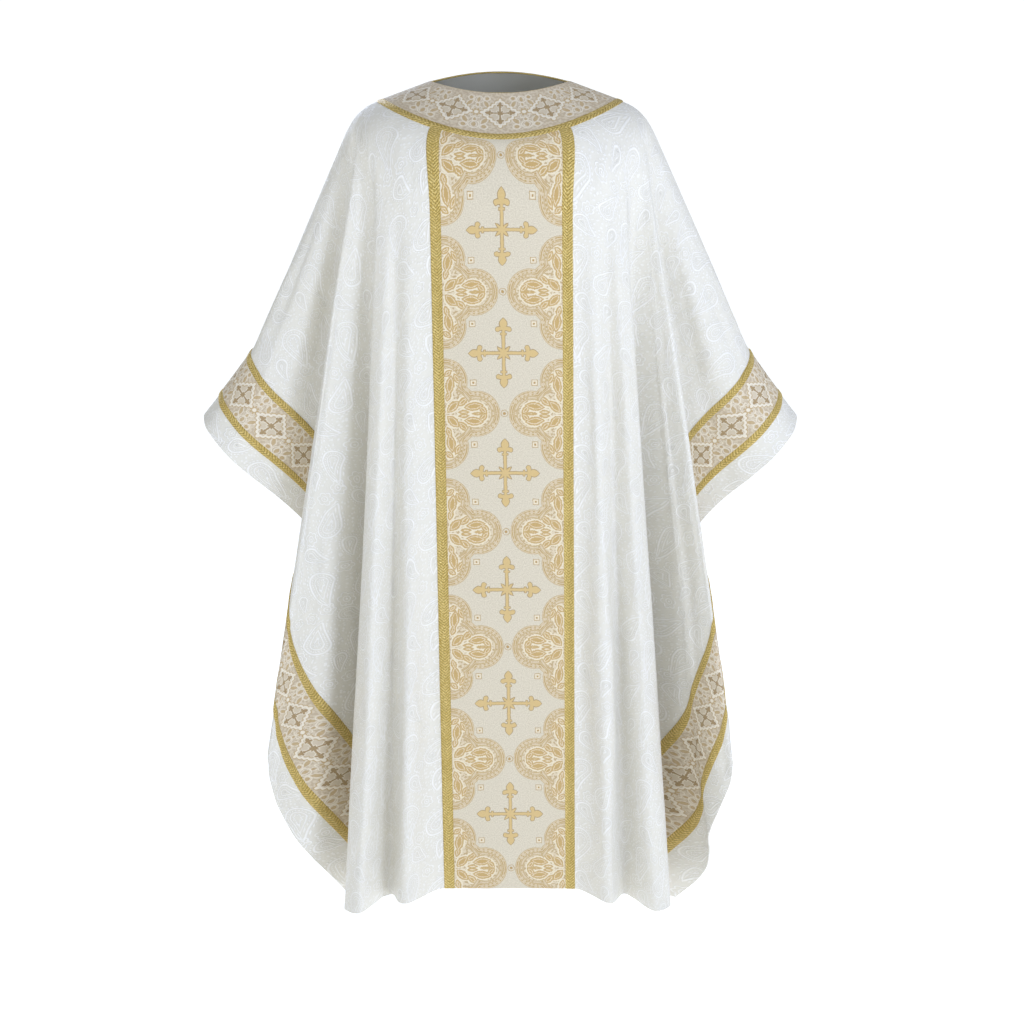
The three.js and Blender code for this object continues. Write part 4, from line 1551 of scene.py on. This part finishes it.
@dataclass
class Trim:
    """A strip sewn on the cloth: a flat brocade, or a braid with a crown and rounded edges."""

    node: str
    slot: str
    surface: Surface
    uv: Array
    finish: bpy.types.Material
    braid: Across | None = None
    lift: float = 0.9  # height of its underside above the cloth's middle
    sunk: float = 0.6  # how far the shell reaches below its underside
    wall: float = 1.2
    braid_wall: float = 1.4
    crown: float = 0.5
    edge_fall: float = 0.5  # how far a braid's edges fall, as a share of its wall

    def build(self) -> bpy.types.Object:
        """Makes the strip's shell.

        The crown's height is one less the fourth power of the distance from the middle line, and
        the edges fall by its eighth power.

        Returns:
            The strip.
        """
        shape = self.uv.shape[:2]
        height = np.full(shape, self.lift + self.wall)
        if self.braid is not None:
            across = np.linspace(-1, 1, shape[self.braid.value])
            across = across[:, None] if self.braid is Across.COLUMNS else across[None, :]
            height[:] = self.lift + self.braid_wall
            height += self.crown * (1 - across**4) - self.edge_fall * self.braid_wall * across**8
        outer = self.surface.raised(height)
        inner = self.surface.raised(self.lift - self.sunk)
        piece = shell(f"{self.node}_trim", outer, inner, self.uv * METRES, [self.finish])
        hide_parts(self.node)
        return piece


@dataclass
class PanelTrims:
    """Yoke, orphrey and side bands of one panel, with their braids."""

    cloth: Cloth
    base: ClothPanel
    finishes: Finishes
    overlap: float = 0.5  # how far a braid laps over its brocade
    tuck: float = 1.0  # how far the orphrey starts under the yoke
    seam_gap: float = 0.3
    rows_down: int = 150
    braid_rows: int = 260
    yoke_rows: int = 10
    orphrey_columns: int = 48
    band_columns: int = 14
    wide_braid_columns: int = 8
    braid_columns: int = 6

    def rows(self, braid: bool) -> Array:
        """Shares of its length at which a strip has rows."""
        return np.linspace(0, 1, (self.braid_rows if braid else self.rows_down) + 1)

    def ring(self, start: float, stop: float, rows: int) -> tuple[Surface, Array]:
        """A ring round the neck between two distances w.

        Args:
            start: its inner edge.
            stop: its outer edge.
            rows: number of steps between them.

        Returns:
            Its surface and the cloth's own coordinates, along the ring and across it.
        """
        cut, panel = self.cloth.drape.pattern, self.base.panel
        place, side = self.base.columns()
        neck = self.cloth.drape.strands(place, side, panel).neck
        from_centre = neck if panel is Panel.FRONT else np.pi - neck
        arc = from_centre * (cut.neck_half_width + cut.yoke_width / 2) * cut.seam_angle / 90 * side
        w = np.linspace(start, stop, rows + 1)[None, :]
        surface = self.cloth.surface(panel, place[:, None], side[:, None], w)
        return surface, np.stack(np.broadcast_arrays(arc[:, None], w - (start + stop) / 2), axis=-1)

    def yoke(self) -> tuple[bpy.types.Object, bpy.types.Object]:
        """The round yoke and the braid on its outer edge.

        Returns:
            The yoke and its braid.
        """
        cut, name = self.cloth.drape.pattern, f"{self.base.panel.value}_yoke"
        seam = cut.yoke_width - cut.braid_width
        surface, uv = self.ring(0.0, seam, self.yoke_rows)
        yoke = Trim(name, "yoke_brocade", surface, uv, self.finishes.yoke)
        surface, uv = self.ring(seam - self.overlap, cut.yoke_width, self.braid_columns)
        braid = Trim(f"{name}_braid", "braid", surface, uv, self.finishes.braid, Across.ROWS)
        return yoke.build(), braid.build()

    def column(self, name: str, start: float, stop: float, braid: bool = False) -> bpy.types.Object:
        """An upright strip from the yoke to the hem, between two signed distances s.

        Args:
            name: the node's name.
            start: its edge on the wearer's right.
            stop: its edge on the wearer's left.
            braid: True for a braid.

        Returns:
            The strip.
        """
        cut, panel, drape = self.cloth.drape.pattern, self.base.panel, self.cloth.drape
        s = np.linspace(start, stop, (self.wide_braid_columns if braid else self.orphrey_columns) + 1)
        if panel is Panel.BACK:
            s = s[::-1]
        side = np.where(s < 0, -1.0, 1.0)
        place = np.abs(s) if panel is Panel.FRONT else drape.places[-1] - np.abs(s)
        end = drape.strands(place, side, panel).end
        top = cut.yoke_width - self.tuck
        w = top + (end[:, None] - top) * self.rows(braid)
        surface = self.cloth.surface(panel, place[:, None], side[:, None], w)
        if braid:
            uv = surface.flat[..., ::-1] - np.array([0.0, (start + stop) / 2])
            return Trim(name, "braid", surface, uv, self.finishes.braid, Across.COLUMNS).build()
        return Trim(name, "orphrey_brocade", surface, surface.flat, self.finishes.orphrey).build()

    def orphrey(self) -> list[bpy.types.Object]:
        """The centre orphrey and its two braids.

        Returns:
            The orphrey, then the braids.
        """
        cut, name = self.cloth.drape.pattern, self.base.panel.value
        half, braid = cut.orphrey_half, cut.orphrey_braid
        inner, outer = half - self.overlap, half + braid
        return [
            self.column(f"{name}_orphrey", -half, half),
            self.column(f"{name}_orphrey_braid_left", inner, outer, braid=True),
            self.column(f"{name}_orphrey_braid_right", -outer, -inner, braid=True),
        ]

    def strip(
        self, name: str, side: Side, near: float, far: float, braid: bool = False
    ) -> bpy.types.Object:
        """A strip beside the side edge, from the shoulder seam down to the hem.

        Args:
            name: the node's name.
            side: the wearer's side.
            near: its distance from the side edge.
            far: its inner distance from the side edge.
            braid: True for a braid.

        Returns:
            The strip.
        """
        drape, panel = self.cloth.drape, self.base.panel
        cut = drape.pattern
        columns = self.braid_columns if braid else self.band_columns
        s = cut.half_width - np.linspace(far, near, columns + 1)
        if (side is Side.LEFT) != (panel is Panel.FRONT):
            s = s[::-1]
        top, bottom = cut.seam(s)[:, None] + self.seam_gap, cut.hem(s, panel)[:, None]
        t = top + (bottom - top) * self.rows(braid)
        across = np.broadcast_to(s[:, None], t.shape).copy()
        place = drape.place_through(across, t, panel)
        sides = np.full_like(t, side.value)
        strands = drape.strands(place, sides, panel)
        flat = np.stack([across, t], axis=-1)
        w = strands.to_knee + np.linalg.norm(flat - strands.knee_flat, axis=-1)
        surface = self.cloth.surface(panel, place, sides, w)
        uv = np.stack([t, across - cut.half_width + (near + far) / 2], axis=-1)
        if braid:
            return Trim(name, "braid", surface, uv, self.finishes.braid, Across.COLUMNS).build()
        return Trim(name, "yoke_brocade", surface, uv, self.finishes.yoke).build()

    def band(self, side: Side) -> list[bpy.types.Object]:
        """One side band and its two braids.

        Args:
            side: the wearer's side.

        Returns:
            The band, then the inner and the outer braid.
        """
        cut, name, hand = self.cloth.drape.pattern, self.base.panel.value, side.name.lower()
        near, far = cut.band_from_edge, cut.band_from_edge + cut.band_width
        braid, lap = cut.braid_width, self.overlap
        return [
            self.strip(f"{name}_band_{hand}", side, near + braid, far - braid),
            self.strip(f"{name}_band_braid_in_{hand}", side, far - braid - lap, far, braid=True),
            self.strip(f"{name}_band_braid_out_{hand}", side, near, near + braid + lap, braid=True),
        ]


@dataclass
class NeckEdge:
    """Thin gold piping round the neck, front and back in one ring."""

    cloth: Cloth
    finish: bpy.types.Material
    radius: float = 1.5
    inset: float = 0.4  # distance w of its path
    lift: float = 0.6  # height of its middle above the cloth's middle
    steps: int = 60  # steps in a quarter of the ring

    def build(self) -> bpy.types.Object:
        """Carries the piping round the top edge of the yoke.

        Returns:
            The piping.
        """
        drape = self.cloth.drape
        path = []
        for panel, first in ((Panel.FRONT, Side.RIGHT), (Panel.BACK, Side.LEFT)):
            place = np.linspace(*drape.half(panel)[::-1], self.steps)[:-1]
            for sign in (first.value, -first.value):
                strands = drape.strands(place, np.full_like(place, sign), panel)
                points = strands.worn(np.full_like(place, self.inset))
                path.append(points if sign == first.value else points[::-1])
        path = np.concatenate(path) + np.array([0.0, 0.0, self.lift])
        return tube("neck_edge", path, self.radius, self.finish)


class Vestment:
    """The whole chasuble."""

    def __init__(self) -> None:
        """Prepares pattern, drape and finishes."""
        self.pattern = Pattern()
        self.cloth = Cloth(Drape(self.pattern))
        self.finishes = Finishes()

    def build(self) -> None:
        neck_edge = NeckEdge(self.cloth, self.finishes.braid).build()
        for panel in Panel:
            base = ClothPanel(self.cloth, panel, self.finishes)
            cloth = base.build()
            self.pattern.area(panel)
            trims = PanelTrims(self.cloth, base, self.finishes)
            self.dress(trims, panel)

    def dress(self, trims: PanelTrims, panel: Panel) -> None:
        """Args:
            trims: the maker of its trims.
            panel: which panel it is.
        """
        cut = self.pattern
        yoke, yoke_braid = trims.yoke()
        orphrey, *braids = trims.orphrey()
        length = cut.length[panel] - cut.neck_drop[panel] - cut.yoke_width
        for side in Side:
            band, *braids = trims.band(side)
            middle = np.array([cut.half_width - cut.band_from_edge - cut.band_width / 2])
            length = float(cut.hem(middle, panel)[0] - cut.seam(middle)[0])


# ---- Studio -------------------------------------------------------------------------------


@dataclass(frozen=True)
class Softbox:
    """A square area light that faces a point."""

    name: str
    place: tuple[float, float, float]
    size: float
    power: float
    colour: Colour = (0.68, 0.765, 1.0)
    aim: tuple[float, float, float] = (0.0, 0.0, -0.65)

    def build(self) -> bpy.types.Object:
        """Hangs the light.

        Returns:
            The light.
        """
        data = bpy.data.lights.new(self.name, "AREA")
        data.shape, data.size = "SQUARE", self.size
        data.energy, data.color = self.power, self.colour
        light = linked(self.name, data)
        place = Vector(self.place)
        light.location = place
        light.rotation_euler = (Vector(self.aim) - place).to_track_quat("-Z", "Y").to_euler()
        return light


@dataclass
class Studio:
    """Pale floor, soft light and the camera in front, a little above."""

    floor_level: float = -1.62
    floor_size: float = 40.0
    camera_place: tuple[float, float, float] = (0.0, -2.950, -0.085)
    camera_pitch: float = 12.0  # degrees below level
    frame: float = 1024.0  # side of the picture in pixels
    focal: float = 1770.0  # focal length in pixels
    centre_shift: float = 12.0  # pixels that the frame is moved sideways
    sensor: float = 36.0
    sky: float = 0.40
    horizon: float = 1.12
    tint: Colour = DAYLIGHT
    ring: tuple[float, float] = (0.10, 0.16)  # sines of the heights between which the sky dims
    boxes: tuple[Softbox, ...] = (
        Softbox("key", (2.3, -3.1, 1.5), 1.1, 80.0),
        Softbox("fill", (-2.8, -2.4, 0.6), 1.8, 3.0),
        Softbox("back", (-1.4, 3.4, 1.3), 1.8, 50.0),
    )

    def build(self) -> None:
        """Sets up floor, sky, lights and camera."""
        self.floor()
        self.surroundings()
        for box in self.boxes:
            box.build()
        self.camera()
        bpy.context.scene.view_settings.view_transform = "Standard"

    def floor(self) -> None:
        """Lays the floor."""
        half = self.floor_size / 2
        corners = [(-half, -half), (half, -half), (half, half), (-half, half)]
        mesh = bpy.data.meshes.new("floor")
        mesh.from_pydata([(x, y, self.floor_level) for x, y in corners], [], [(0, 1, 2, 3)])
        mesh.materials.append(Floor().material())
        floor = linked("floor", mesh)

    def surroundings(self) -> None:
        """Lights the scene from all round, brightest near the horizon."""
        world = bpy.data.worlds.new("studio")
        loom = Loom(world)
        place = loom.out(loom.node("ShaderNodeTexCoord", {}, {}), "Generated")
        height = abs(loom.out(loom.node("ShaderNodeSeparateXYZ", {}, {0: place}), "Z"))
        low, high = self.ring
        ends = {"From Min": low, "From Max": high, "To Min": self.horizon, "To Max": self.sky}
        strength = loom.out(loom.node("ShaderNodeMapRange", {}, {"Value": height, **ends}))
        inputs = {"Color": (*self.tint, 1.0), "Strength": strength}
        background = loom.out(loom.node("ShaderNodeBackground", {}, inputs))
        loom.node("ShaderNodeOutputWorld", {}, {"Surface": background})
        bpy.context.scene.world = world

    def camera(self) -> None:
        """Places the camera; its lens and shift follow from the frame in pixels."""
        data = bpy.data.cameras.new("camera")
        data.sensor_width = self.sensor
        data.lens = self.focal / self.frame * self.sensor
        data.shift_x = self.centre_shift / self.frame
        data.clip_end = 100.0
        camera = linked("camera", data)
        camera.location = self.camera_place
        camera.rotation_euler = (math.radians(90 - self.camera_pitch), 0.0, 0.0)
        bpy.context.scene.camera = camera


def main() -> None:
    """Loads the frame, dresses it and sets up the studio."""
    logging.basicConfig(level=logging.INFO, format="%(name)s: %(message)s")
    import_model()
    Vestment().build()
    Studio().build()


if __name__ == "__main__":
    main()
